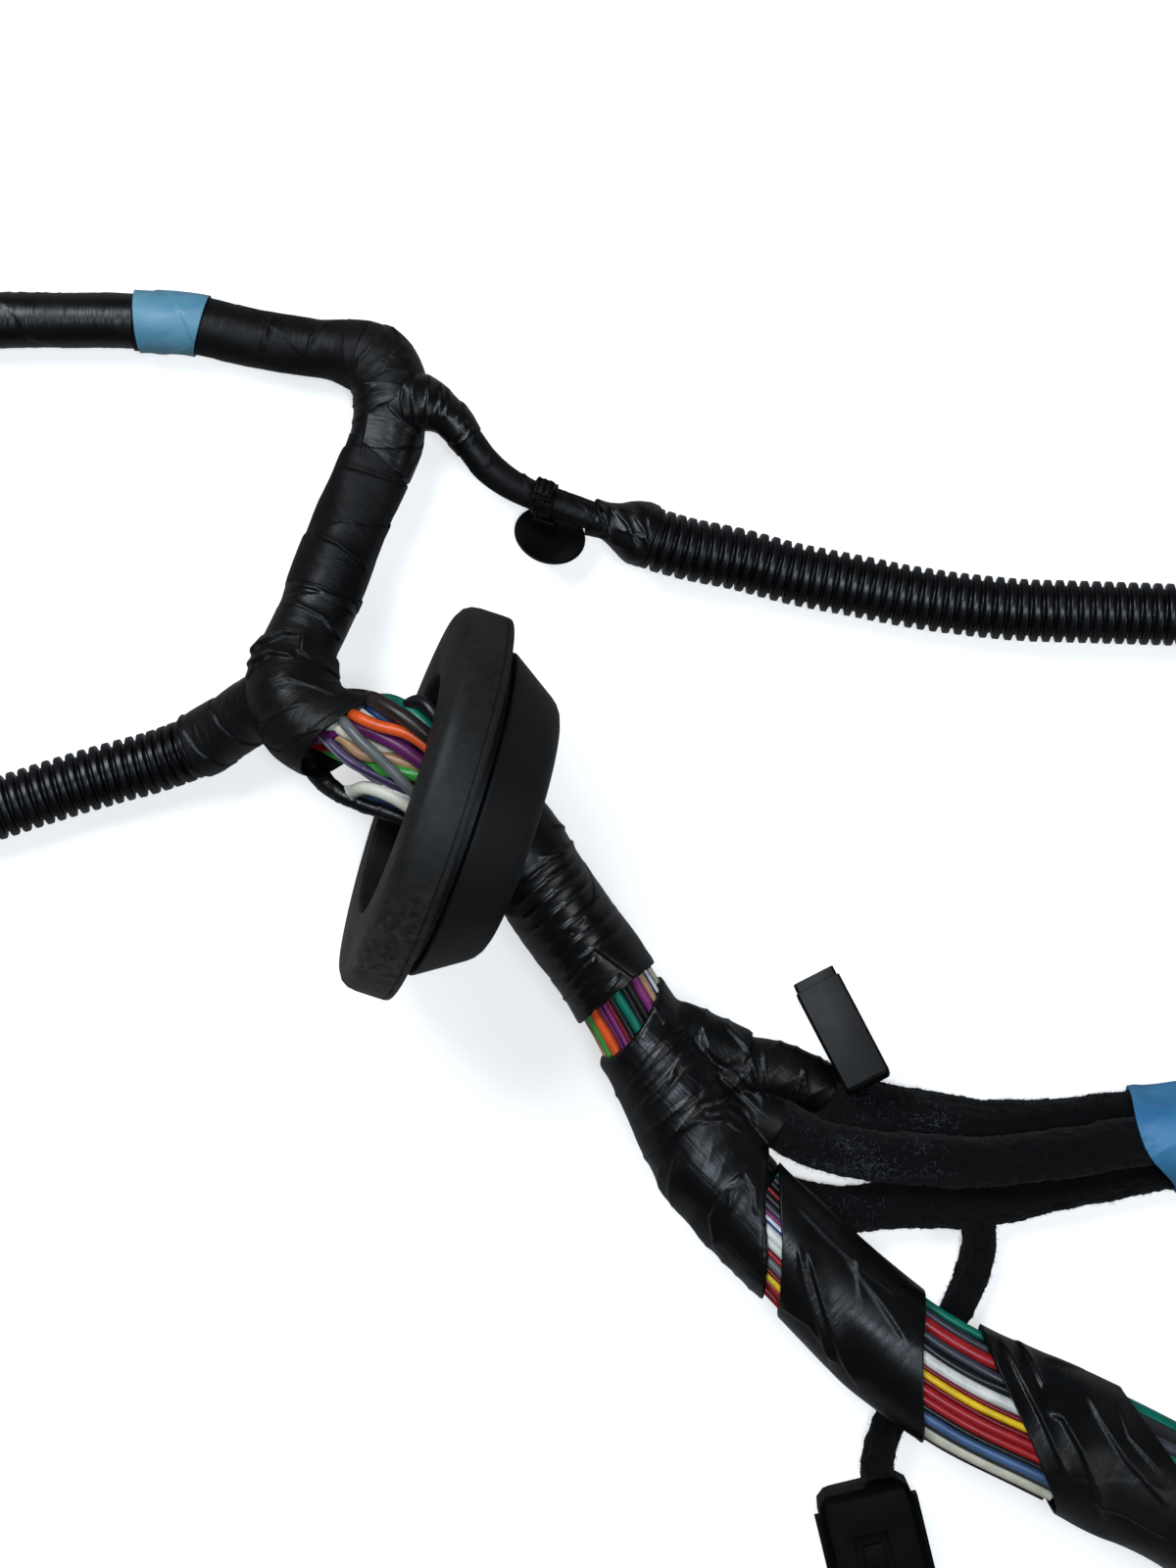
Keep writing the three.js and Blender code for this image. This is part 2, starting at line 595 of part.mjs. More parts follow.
const blueFrom = 139.5;
const blueTo = 159;
const blueMid = [
  new THREE.Vector3(blueFrom, -89.2, 11), new THREE.Vector3(blueTo, -88.3, 11),
];
const blueRings = blueMid.map((centre) => {
  const ring = [];
  for (let i = 0; i < 20; i += 1) {
    const angle = (2 * Math.PI * i) / 20;
    const wide = 14.8;
    const high = Math.sin(angle) > 0 ? 15.2 : 10.7;
    const pinch = Math.sin(angle) > 0 ? 1 - 0.22 * Math.abs(Math.sin(2 * angle)) : 1;
    ring.push(new THREE.Vector3(centre.x, centre.y + wide * pinch * Math.cos(angle),
      centre.z + high * Math.sin(angle)));
  }
  return ring;
});
const blueSolid = solid(skin([[blueMid[0]], ...blueRings, [blueMid[1]]]));
let blueWrap = blueSolid;
fleeceLines.forEach((line) => {
  blueWrap = blueWrap.subtract(solid(solidRod(line, stations(95, line.length, 6), () => fleeceRadius + gap, 10)));
});
add('fleece_blue_wrap', shape(largest(blueWrap)), deepBlue, 0.5);

// End plugs beyond the edges of the photo
function endPlug(name, centre, way, width, height, length, holes) {
  const place = placeAt(centre, way, up);
  let body = solid(housing([
    [0, width - 4, height - 4], [1.4, width - 1, height - 1], [length * 0.36, width - 1, height - 1],
    [length * 0.36 + 0.8, width, height], [length - 1, width, height], [length, width - 1.6, height - 1.6],
  ], 1.2, place));
  body = body.add(solid(box(length * 0.5, width * 0.3, 1.6, length * 0.66, 0, height / 2 + 0.6, place)));
  for (let i = 0; i < holes; i += 1) {
    const y = ((i + 0.5) / holes - 0.5) * (width - 4);
    body = body.subtract(solid(box(3, 1.8, 1.8, length, y, -height / 6, place)));
  }
  add(name, shape(body), plasticBlack, 0.45);
}

function plugOn(name, line, distance, wayOut, width, height, holes) {
  const frame = frameAt(line, distance);
  const way = frame.along.clone().multiplyScalar(wayOut);
  way.z = 0;
  const centre = frame.centre.clone().addScaledVector(way.normalize(), gap);
  centre.z = height / 2;
  endPlug(name, centre, way, width, height, plugLength, holes);
}

plugOn('upper_branch_plug', main, 4, -1, 22, 16, 4);
const leftEnd = leftTapeEnd + gap + ridgePitch * ridgeCount(leftTapeEnd + gap, leftLine.length - 4);
const rightEnd = conduitStart + ridgePitch * ridgeCount(conduitStart, sideLine.length - 4);
plugOn('left_conduit_plug', leftLine, leftEnd, 1, smallPlugWidth, smallPlugHeight, 4);
plugOn('right_conduit_plug', sideLine, rightEnd, 1, smallPlugWidth, smallPlugHeight, 4);
endPlug('fleece_plug', new THREE.Vector3(162.6, -88.3, fleecePlugHeight / 2),
  new THREE.Vector3(1, 0.02, 0), fleecePlugWidth, fleecePlugHeight, plugLength, 6);
const trunkTip = frameAt(main, trunkEnd + gap);
const trunkWay = trunkTip.along.clone();
trunkWay.z = 0;
endPlug('trunk_plug', new THREE.Vector3(trunkTip.centre.x + 1.6, trunkTip.centre.y - 0.7,
  trunkPlugHeight / 2), trunkWay, trunkPlugWidth, trunkPlugHeight,
  plugLength, 7);

// Connector at the foot of the drop branch, with a latch recess in its top face
const dropTip = frameAt(dropLine, dropLine.length);
const dropWay = new THREE.Vector3(0.235, -0.972, 0);
const dropPlace = placeAt(new THREE.Vector3(dropTip.centre.x - 4.6, dropTip.centre.y - 1.7, dropPlugHeight / 2),
  dropWay, up);
let dropPlug = solid(housing([
  [0, dropPlugWidth - 5, dropPlugHeight - 4], [2, dropPlugWidth - 1, dropPlugHeight - 0.6],
  [5, dropPlugWidth, dropPlugHeight], [dropPlugLength - 1.2, dropPlugWidth, dropPlugHeight],
  [dropPlugLength, dropPlugWidth - 2, dropPlugHeight - 2],
], 1.5, dropPlace));
dropPlug = dropPlug.subtract(solid(box(12, 9, latchDepth * 2, 17, -1, dropPlugHeight / 2, dropPlace)));
dropPlug = dropPlug.add(solid(box(8, 5, latchDepth + 0.8, 18, -1, dropPlugHeight / 2 - latchDepth / 2 - 0.6, dropPlace)));
for (const y of [-1, 1]) {
  dropPlug = dropPlug.add(solid(box(dropPlugLength - 8, 1.6, 6, dropPlugLength / 2 + 1,
    y * (dropPlugWidth / 2 + 0.4), 2, dropPlace)));
}
for (let i = 0; i < 5; i += 1) {
  dropPlug = dropPlug.subtract(solid(box(3, 2, 2, dropPlugLength, (i - 2) * 4, 3, dropPlace)));
  dropPlug = dropPlug.subtract(solid(box(3, 2, 2, dropPlugLength, (i - 2) * 4, -3, dropPlace)));
}
add('drop_connector', shape(dropPlug), plasticBlack, 0.4);

// Small block connector leaning on the top fleece branch, with its two wires
const blockWay = new THREE.Vector3(-0.43, 0.84, -0.26);
const blockPlace = placeAt(new THREE.Vector3(70.1, -74.8, 23.4), blockWay, up);
let blockBody = solid(housing([
  [0, blockWidth - 1, blockHeight - 1], [0.8, blockWidth, blockHeight], [blockLength - 2.6, blockWidth, blockHeight],
  [blockLength - 2.4, blockWidth - 1, blockHeight - 1], [blockLength, blockWidth - 1, blockHeight - 1],
], 0.6, blockPlace));
for (const y of [-2.4, 2.4]) {
  blockBody = blockBody.subtract(solid(box(3, 2.2, 2.2, blockLength, y, 0, blockPlace)));
}
add('block_connector', shape(blockBody), plasticBlack, 0.4);
const blockClear = solid(box(blockLength + 2 * gap, blockWidth + 2 * gap, blockHeight + 2 * gap, blockLength / 2, 0, 0,
  blockPlace));
blockWireRoutes.forEach((route, index) => {
  const line = rail(route.map(vector));
  const rod = solid(solidRod(line, stations(0, line.length, 4), () => 1.1, wireSides));
  add(`block_wire_${index + 1}`, shape(largest(rod.subtract(blockClear).subtract(junction))), '#4a5a78', 0.4);
});

// Middle of the footprint at x = y = 0, lowest point at z = 0
const bounds = new THREE.Box3().setFromObject(parts);
const middle = bounds.getCenter(new THREE.Vector3());
for (const mesh of parts.children) {
  mesh.geometry.translate(-middle.x, -middle.y, -bounds.min.z);
}

export default parts;
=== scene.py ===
import math

import bmesh
import bpy
import numpy as np
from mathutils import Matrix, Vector


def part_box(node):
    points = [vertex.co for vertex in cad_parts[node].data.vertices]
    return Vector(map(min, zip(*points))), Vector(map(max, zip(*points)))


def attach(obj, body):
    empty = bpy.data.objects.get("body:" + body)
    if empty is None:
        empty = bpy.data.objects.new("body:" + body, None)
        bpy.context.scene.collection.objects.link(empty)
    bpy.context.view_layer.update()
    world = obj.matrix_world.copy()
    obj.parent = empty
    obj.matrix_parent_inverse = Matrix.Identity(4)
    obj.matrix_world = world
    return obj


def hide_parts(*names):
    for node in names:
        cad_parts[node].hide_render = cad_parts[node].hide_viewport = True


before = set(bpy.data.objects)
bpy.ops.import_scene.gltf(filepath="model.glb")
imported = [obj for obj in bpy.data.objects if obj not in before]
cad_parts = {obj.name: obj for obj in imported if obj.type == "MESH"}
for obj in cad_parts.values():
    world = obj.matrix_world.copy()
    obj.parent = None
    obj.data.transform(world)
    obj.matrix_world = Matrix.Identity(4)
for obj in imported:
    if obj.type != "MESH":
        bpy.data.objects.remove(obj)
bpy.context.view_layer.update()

MM = 0.001
PX_PER_MM = 4.0           # photo pixels per millimetre on the floor
CAMERA_MM = 1000.0        # camera height above the floor
FLOOR_GAP = 0.00002       # metres that every vertex keeps above the floor
CIRCLE = 2 * math.pi


def add(name, data):
    obj = bpy.data.objects.new(name, data)
    bpy.context.scene.collection.objects.link(obj)
    return obj


# camera
# The route points below are in the builder's own millimetres; SHIFT moves them onto the imported part.
GROMMET_MIDDLE = np.array([-32.816, -4.420])
lo, hi = (np.array(corner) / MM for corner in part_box("grommet"))
SHIFT = np.array([*((lo + hi)[:2] / 2 - GROMMET_MIDDLE), 0.0])

camera_data = bpy.data.cameras.new("camera")
camera_data.sensor_fit = "VERTICAL"
camera_data.sensor_height = 24.0
camera_data.lens = camera_data.sensor_height * CAMERA_MM * PX_PER_MM / 1600.0
camera_data.clip_start, camera_data.clip_end = 0.01, 20.0
camera = add("camera", camera_data)
camera.location = Vector(SHIFT * MM) + Vector((0, 0, CAMERA_MM * MM))
bpy.context.scene.camera = camera


def pixels(*points):
    """Route millimetres of photo pixels, each on a thing at height z."""
    scales = [(1 - z / CAMERA_MM) / PX_PER_MM for _, _, z in points]
    return [[(px - 600) * scale, (800 - py) * scale, z] for (px, py, z), scale in zip(points, scales)]


# routes, in millimetres
MAIN = [
    (-164.3, 116.6, 8), (-148.9, 117.4, 8), (-134, 117.4, 8), (-116.6, 117.2, 8), (-99.2, 116.2, 8),
    (-83.8, 112.5, 8.2), (-70.7, 110.4, 8.6), (-61.5, 109.2, 9.6), (-54, 106.4, 10.4), (-50.2, 99.7, 10.8),
    (-50.2, 89, 11), (-55.2, 76.6, 12), (-60.3, 64.2, 12.5), (-64.8, 51.8, 14), (-68.6, 41.3, 17),
    (-72.4, 31.8, 21), (-73.4, 22.4, 25), (-68.9, 15.1, 29), (-61.4, 11.6, 33), (-50.5, 8.2, 38),
    (-39, 3.6, 42), (-27.5, -4.8, 43.5), (-18.7, -13.4, 43.5), (-12.4, -22.8, 42), (-5.5, -33.4, 38),
    (2.7, -44.5, 33.5), (8.2, -53.3, 31), (13.9, -63.2, 29), (21.9, -77.4, 27), (29.2, -92, 26.2),
    (37.5, -102.8, 26), (48.7, -113.8, 26), (63.8, -128.6, 26), (78.4, -141.3, 26), (93.5, -151, 26),
    (113, -160.2, 25.5), (134.9, -171.1, 23.4), (153.1, -180.9, 20.6), (169.6, -189.8, 18.8),
]
SIDE = [
    (-48.9, 95.3, 12), (-41.9, 95.7, 13.5), (-35.2, 92.3, 14.8), (-30.3, 86.4, 15.8), (-25.6, 80.3, 16.8),
    (-20.1, 75.6, 17.5), (-14.5, 72.6, 18), (-9.8, 70.9, 18), (-4.2, 69, 17.4), (0.7, 67.2, 16.6),
    (5.4, 65.8, 15.6), (10.3, 64, 14.6), (16.8, 61.6, 13.2), (24.7, 59.4, 11.6), (37.9, 56.8, 9.5),
    (52.1, 53.2, 8.2), (66.5, 50.4, 8), (80.6, 47.6, 8), (95, 45.5, 8), (109.1, 44.1, 8), (123.5, 43.6, 8),
    (136.4, 43.2, 8), (148.8, 42.8, 8), (164.2, 42.2, 8),
]
LEFT = [
    (-74.5, 22.6, 24), (-80.2, 20.3, 21.5), (-85.4, 17.7, 18), (-91.7, 13.6, 14), (-98.7, 9.6, 11),
    (-108.8, 5.9, 8.6), (-122.3, 2.2, 8), (-135.4, -1.7, 8), (-148.8, -6, 8), (-164.2, -10.7, 8),
]
FLEECE = [
    [(24, -74, 27), (33.6, -71, 26), (42.7, -70, 24), (51.9, -73.2, 19.4), (61.6, -77.8, 13),
     (73.1, -81.8, 8.2), (86.9, -84.6, 6.4), (101.8, -86.4, 6.4), (119.2, -86, 6.4), (136.6, -84.2, 6.4),
     (149, -82.6, 6.4), (164.4, -81.2, 6.4)],
    [(24, -76, 25), (35.4, -78.6, 23.5), (45.2, -84.8, 22), (56.4, -91.3, 18.5), (68.9, -94.2, 16),
     (86.2, -95, 15.3), (100.8, -94.9, 16.5), (117.9, -92.8, 17.9), (134.9, -90, 18.7), (147.2, -88.3, 18.8),
     (164.4, -87, 18.8)],
    [(31, -88, 19), (39.5, -97, 12.5), (48.3, -104, 8), (60, -107.4, 6.4), (74.5, -106.8, 6.4),
     (86.9, -106.3, 6.4), (101.8, -105.5, 6.4), (119.2, -102.2, 6.4), (136.6, -98, 6.4), (149, -96.2, 6.4),
     (164.4, -95, 6.4)],
]
DROP = [
    (98.8, -109, 6.5), (99.2, -115.4, 5), (97.9, -122.4, 4.6), (94.7, -130.6, 4.6), (89.6, -139.8, 4.6),
    (83.3, -149.7, 4.6), (77.6, -159.2, 5.6), (74, -167.6, 8.2), (73.2, -171.6, 9.3), (73.4, -175, 9.5),
]
BLOCK_WIRES = [
    [(53, -75.5, 20.5), (59, -75.5, 18.5), (65, -75.5, 18), (69.5, -76, 20)],
    [(54, -79, 20.5), (60, -79, 18.5), (66, -79, 18), (71, -78, 20)],
]


def unit(vectors):
    return vectors / np.linalg.norm(vectors, axis=-1, keepdims=True)


class Rail:
    """A centripetal Catmull-Rom curve through the points, read by distance in millimetres."""

    def __init__(self, points, dense=48):
        pts = np.array(points, float)
        ends = np.vstack([2 * pts[0] - pts[1], pts, 2 * pts[-1] - pts[-2]])
        t = np.linspace(0, 1, dense, endpoint=False)[:, None]
        out = []
        for i in range(len(pts) - 1):
            p0, p1, p2, p3 = ends[i:i + 4]
            d0, d1, d2 = (max(np.linalg.norm(b - a), 1e-6) ** 0.5 for a, b in ((p0, p1), (p1, p2), (p2, p3)))
            t1 = ((p1 - p0) / d0 - (p2 - p0) / (d0 + d1) + (p2 - p1) / d1) * d1
            t2 = ((p2 - p1) / d1 - (p3 - p1) / (d1 + d2) + (p3 - p2) / d2) * d1
            a = 2 * p1 - 2 * p2 + t1 + t2
            b = -3 * p1 + 3 * p2 - 2 * t1 - t2
            out.append(a * t ** 3 + b * t ** 2 + t1 * t + p1)
        self.p = np.vstack(out + [pts[-1:]])
        self.s = np.concatenate([[0], np.cumsum(np.linalg.norm(np.diff(self.p, axis=0), axis=1))])
        self.length = self.s[-1]
        self.t = unit(np.gradient(self.p, self.s, axis=0))

    def at(self, s):
        """The middle of the route there, and the directions along it, to its side and over it."""
        s = np.asarray(s, float)
        inside = np.clip(s, 0, self.length)
        centre, along = (np.stack([np.interp(inside, self.s, line[:, k]) for k in range(3)], -1)
                         for line in (self.p, self.t))
        along = unit(along)
        centre = centre + along * (s - inside)[..., None]
        side = unit(np.cross(along, [0, 0, 1.0]))
        return centre, along, side, np.cross(side, along)

    def tube(self, s, th, r):
        """Points at the angles th and the distance r from the route, and their outward directions."""
        centre, _, side, over = self.at(s)
        out = side * np.cos(th)[..., None] + over * np.sin(th)[..., None]
        return centre + out * r[..., None], out


def ease(a, b, x):
    t = np.clip((np.asarray(x, float) - a) / (b - a), 0, 1)
    return t * t * (3 - 2 * t)


# seeded noise
def lattice(i, j, k, seed):
    h = (i.astype(np.uint32) * np.uint32(73856093)) ^ (j.astype(np.uint32) * np.uint32(19349663))
    h ^= (k.astype(np.uint32) * np.uint32(83492791)) ^ np.uint32((seed * 2654435761) & 0xFFFFFFFF)
    h ^= h >> np.uint32(13)
    h *= np.uint32(1274126177)
    h ^= h >> np.uint32(16)
    return (h & np.uint32(0xFFFFFF)).astype(float) / 0xFFFFFF


def noise(x, y, z, seed=1):
    """Smooth value noise from -1 to 1."""
    x, y, z = np.broadcast_arrays(x, y, z)
    xi, yi, zi = (np.floor(v).astype(np.int64) for v in (x, y, z))
    fx, fy, fz = (v - w for v, w in ((x, xi), (y, yi), (z, zi)))
    fx, fy, fz = (f * f * f * (f * (f * 6 - 15) + 10) for f in (fx, fy, fz))
    total = 0
    for a in (0, 1):
        for b in (0, 1):
            for c in (0, 1):
                weight = (fx if a else 1 - fx) * (fy if b else 1 - fy) * (fz if c else 1 - fz)
                total = total + weight * lattice(xi + a, yi + b, zi + c, seed)
    return total * 2 - 1


def ridged(x, y, z, seed=1, sharp=2.0):
    """Narrow folds: 1 on the crease, 0 away from it."""
    return (1 - np.abs(noise(x, y, z, seed))) ** sharp


def fold_height(points, strokes):
    """Pleats (height, width, then x and y of photo pixels), sharp on one side and soft on the other."""
    scale = PX_PER_MM / (1 - points[..., 2] / CAMERA_MM)
    px, py = 600 + points[..., 0] * scale, 800 - points[..., 1] * scale
    total = np.zeros(px.shape)
    for height, width, *path in strokes:
        path = np.array(path, float).reshape(-1, 2)
        lengths = np.concatenate([[0], np.cumsum(np.linalg.norm(np.diff(path, axis=0), axis=1))])
        best = np.full(px.shape, 1e9)
        signed, share = np.zeros(px.shape), np.zeros(px.shape)
        for (x0, y0), (dx, dy), before in zip(path, np.diff(path, axis=0), lengths):
            size = math.hypot(dx, dy)
            t = np.clip(((px - x0) * dx + (py - y0) * dy) / size ** 2, 0, 1)
            ex, ey = px - x0 - t * dx, py - y0 - t * dy
            d = np.hypot(ex, ey)
            near = d < best
            best = np.where(near, d, best)
            signed = np.where(near, d * np.sign(ex * dy - ey * dx), signed)
            share = np.where(near, (before + t * size) / lengths[-1], share)
        w = width * PX_PER_MM
        soft, sharp = np.exp(-(np.abs(signed) / w) ** 1.3), np.exp(-(signed / (0.28 * w)) ** 2)
        slope = np.where(signed > 0, soft, sharp)
        total = total + height * slope * ease(0, 0.16, share) * ease(0, 0.16, 1 - share)
    return total


# mesh building
def finished(obj, material, node, smooth=True):
    """Gives a piece its material and the CAD node that it replaces."""
    obj.data.polygons.foreach_set("use_smooth", np.full(len(obj.data.polygons), smooth))
    obj.data.materials.clear()
    obj.data.materials.append(material)
    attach(obj, "root")
    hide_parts(node)
    return obj


def make(name, verts, faces, material, slot, node, smooth=True, **layers):
    """A piece from millimetre vertices and quads; a quad that repeats its last corner is a triangle."""
    verts = (np.asarray(verts, float).reshape(-1, 3) + SHIFT) * MM
    verts[:, 2] = np.maximum(verts[:, 2], FLOOR_GAP)
    sizes = np.where(faces[:, 2] == faces[:, 3], 3, 4)
    loops = faces[np.arange(4)[None, :] < sizes[:, None]].astype(np.int32)
    mesh = bpy.data.meshes.new(name)
    mesh.vertices.add(len(verts))
    mesh.vertices.foreach_set("co", verts.ravel())
    mesh.loops.add(len(loops))
    mesh.loops.foreach_set("vertex_index", loops)
    mesh.polygons.add(len(faces))
    mesh.polygons.foreach_set("loop_start", np.concatenate([[0], np.cumsum(sizes)[:-1]]).astype(np.int32))
    mesh.update(calc_edges=True)
    mesh.validate()
    for key, values in layers.items():
        add_layer(mesh, key, values)
    return finished(add(name, mesh), material, node, smooth)


def add_layer(mesh, key, values):
    kind, field = ("FLOAT_VECTOR", "vector") if key == "tape" else ("FLOAT", "value")
    layer = mesh.attributes.new(key, kind, "POINT")
    layer.data.foreach_set(field, np.asarray(values, np.float32).ravel())


def grid_faces(rows, columns, closed=False):
    r = np.arange(rows if closed else rows - 1)[:, None]
    c = np.arange(columns)[None, :]
    on, below = (c + 1) % columns, (r + 1) % rows
    quads = np.stack([r * columns + c, r * columns + on, below * columns + on, below * columns + c], -1)
    return quads.reshape(-1, 4)


def ring_angles(columns, first=0.0):
    return first + CIRCLE * np.arange(columns) / columns


def angles(columns):
    """The seam of each tube is at its underside."""
    return ring_angles(columns, -math.pi / 2)


def slanted(middle, slope=0.0, bow=0.0, radius=12.0, ragged=0.0, seed=3):
    """A cut edge: distance along the rail for each angle round it."""
    def edge(th):
        tear = ragged * (noise(th * 5, 0.5, 0.5, seed) + 0.6 * noise(th * 14, 0.5, 2.5, seed))
        return middle + slope * radius * np.cos(th) + bow * np.cos(th) ** 2 + tear
    return edge


def at_angles(edge, th):
    return edge(th) if callable(edge) else edge + 0 * th


def sweep(name, rail, start, end, radius, material, slot, node, columns, step, lip0=None, lip1=None, folds=()):
    """A tube between two edges. radius(s, angle) is in millimetres; a lip folds that end inwards."""
    th = angles(columns)[None, :]
    start, end = at_angles(start, th), at_angles(end, th)
    rows = max(3, int(np.max(end - start) / step) + 1)
    s = start + (end - start) * np.linspace(0, 1, rows)[:, None]
    r = radius(s, np.broadcast_to(th, s.shape))
    if lip0 is not None:
        s = np.vstack([s[:1] + 2.2, s[:1] + 0.05, s])
        r = np.vstack([r[:1] - lip0 * 1.2, r[:1] - lip0, r])
    if lip1 is not None:
        s = np.vstack([s, s[-1:] - 0.05, s[-1:] - 2.2])
        r = np.vstack([r, r[-1:] - lip1, r[-1:] - lip1 * 1.2])
    points, out = rail.tube(s, th, r)
    if folds:
        lift = fold_height(points, folds) * ease(-0.3, 0.3, out[..., 2])
        points = points + out * lift[..., None]
    verts = points.reshape(-1, 3)
    tape = np.stack([s, r * th, np.full(s.shape, len(name) * 7.0)], -1).reshape(-1, 3)
    faces = [grid_faces(*s.shape)]
    last = len(verts) - columns
    for closed, base in ((lip0 is None, 0), (lip1 is None, last)):
        if closed:
            ring = np.arange(columns) + base
            ring = ring[::-1] if base == 0 else ring
            verts = np.vstack([verts, verts[ring].mean(0)])
            tape = np.vstack([tape, tape[ring[0]]])
            hub = np.full(columns, len(verts) - 1)
            faces.append(np.stack([ring, np.roll(ring, -1), hub, hub], -1))
    return make(name, verts, np.vstack(faces), material, slot, node, tape=tape)


# materials
def srgb(text, factor=1.0):
    values = [int(text[i:i + 2], 16) / 255 for i in (1, 3, 5)]
    return tuple(factor * (v / 12.92 if v <= 0.04045 else ((v + 0.055) / 1.055) ** 2.4) for v in values)


class Paint:
    """A principled material and the nodes that feed it."""

    def __init__(self, name, color, roughness, specular):
        self.material = bpy.data.materials.new(name)
        self.material.use_nodes = True
        self.tree = self.material.node_tree
        self.bsdf = self.tree.nodes["Principled BSDF"]
        self.put(self.bsdf, {"Base Color": (*srgb(color), 1), "Roughness": roughness,
                             "Specular IOR Level": specular})
        self.solid = self.node("TexCoord", "Object", {})
        self.normal = None

    def put(self, node, sockets):
        """Links or sets each named input."""
        for key, value in sockets.items():
            if isinstance(value, bpy.types.NodeSocket):
                self.tree.links.new(value, node.inputs[key])
            else:
                node.inputs[key].default_value = value

    def node(self, kind, output, sockets, **settings):
        made = self.tree.nodes.new("ShaderNode" + kind)
        for key, value in settings.items():
            setattr(made, key, value)
        self.put(made, sockets)
        return made.outputs[output]

    def noise(self, vector, scale, detail=4.0, rough=0.6, distortion=0.0):
        return self.node("TexNoise", "Fac", {"Vector": vector, "Scale": scale, "Detail": detail,
                                             "Roughness": rough, "Distortion": distortion})

    def ramp(self, value, *stops):
        color = self.node("ValToRGB", "Color", {"Fac": value})
        elements = color.node.color_ramp.elements
        while len(elements) < len(stops):
            elements.new(0.5)
        for element, (position, shade) in zip(elements, stops):
            element.position = position
            element.color = (*shade, 1)
        return color

    def spread(self, value, lo, hi, from_lo=0.25, from_hi=0.75):
        return self.node("MapRange", "Result", {"Value": value, "From Min": from_lo, "From Max": from_hi,
                                                "To Min": lo, "To Max": hi})

    def mix(self, factor, base, color):
        sockets = {"Factor": factor, "A": base, "B": (*srgb(color), 1)}
        return self.node("Mix", "Result", sockets, data_type="RGBA")

    def bump(self, height, distance, strength=1.0):
        """Lays a bump over the bumps so far."""
        sockets = {"Strength": strength, "Distance": distance, "Height": height}
        if self.normal is not None:
            sockets["Normal"] = self.normal
        self.normal = self.node("Bump", "Normal", sockets)

    def done(self, color, roughness):
        self.put(self.bsdf, {"Base Color": color, "Roughness": roughness, "Normal": self.normal})
        return self.material


def tape_material(name, dark, light, rough_lo, rough_hi, specular, creases, turn, hair, fine=0.00004):
    """Vinyl tape: stretch creases run along the tape, in the tube's own coordinates."""
    paint = Paint(name, dark, rough_lo, specular)
    place = paint.node("Attribute", "Vector", {}, attribute_name="tape")
    for scale, kind, depth in (((0.55, 0.05, 1), (4, 0.6, 0.5), 0.0011),
                               ((2.6, 0.16, 1), (3, 0.55, 0.3), hair)):
        way = paint.node("Mapping", "Vector", {"Vector": place, "Rotation": (0, 0, turn), "Scale": scale})
        paint.bump(paint.noise(way, 1.0, *kind), depth, creases)
    paint.bump(paint.noise(paint.solid, 2600, 2), fine, 0.5)
    cloud, patch = paint.noise(paint.solid, 60, 5), paint.noise(paint.solid, 34, 3)
    return paint.done(paint.ramp(cloud, (0.35, srgb(dark)), (0.78, srgb(light))),
                      paint.spread(patch, rough_lo, rough_hi, 0.38, 0.62))


GLOSS = tape_material("gloss_tape", "#040405", "#0b0c0e", 0.28, 0.46, 0.37, 0.22, 0.5, 0.00007)
NECK_GLOSS = tape_material("neck_tape", "#040405", "#0b0c0e", 0.26, 0.42, 0.42, 0.12, 0.25, 0.00008)
MATTE_SOFT = tape_material("wide_tape", "#060606", "#0d0d0e", 0.28, 0.46, 0.29, 0.25, 0.9, 0.00003)
MATTE_FOLDED = tape_material("elbow_tape", "#090908", "#131211", 0.36, 0.54, 0.23, 0.3, 0.8, 0.00004, 0.00006)
MATTE = tape_material("matte_tape", "#070708", "#0f0f10", 0.38, 0.62, 0.18, 0.3, 0.35, 0.00006, 0.00007)


def plain_material(name, color, rough, specular, grain, depth, light):
    paint = Paint(name, color, rough, specular)
    cloud = paint.noise(paint.solid, 90, 4)
    paint.bump(paint.noise(paint.solid, grain, 3), depth, 0.6)
    return paint.done(paint.ramp(cloud, (0.3, srgb(color)), (0.8, srgb(light))),
                      paint.spread(cloud, rough * 0.8, min(1, rough * 1.25)))


CONDUIT = plain_material("conduit_plastic", "#050507", 0.32, 0.36, 900, 0.00003, "#0b0b0e")
HOUSING = plain_material("housing_plastic", "#050505", 0.42, 0.16, 2400, 0.00004, "#0b0a0a")
DARK_HOUSING = plain_material("dark_housing", "#020202", 0.5, 0.05, 2400, 0.00003, "#060606")
BLUE_BAND = plain_material("pale_blue_tape", "#4f86a0", 0.4, 0.4, 700, 0.00005, "#6b9db4")
BLUE_WRAP = plain_material("deep_blue_tape", "#2f6f9c", 0.45, 0.4, 600, 0.00008, "#4a8ab4")


def rubber_material():
    paint = Paint("grommet_rubber", "#0c0d0e", 0.5, 0.27)
    cloud = paint.noise(paint.solid, 60, 6, 0.65)
    base = paint.ramp(cloud, (0.3, srgb("#0d0e0f")), (0.6, srgb("#121314")), (0.85, srgb("#1a1a1a")))
    dust = paint.spread(paint.noise(paint.solid, 420, 5, 0.7), 0.0, 0.7, 0.35, 0.8)
    low = paint.node("Attribute", "Fac", {}, attribute_name="dust")
    mask = paint.node("Math", 0, {0: dust, 1: low}, operation="MULTIPLY")
    paint.bump(paint.noise(paint.solid, 120, 3), 0.0003, 0.3)
    paint.bump(paint.noise(paint.solid, 1900, 3), 0.00005, 0.6)
    return paint.done(paint.mix(mask, base, "#5a5751"), paint.spread(cloud, 0.42, 0.62))


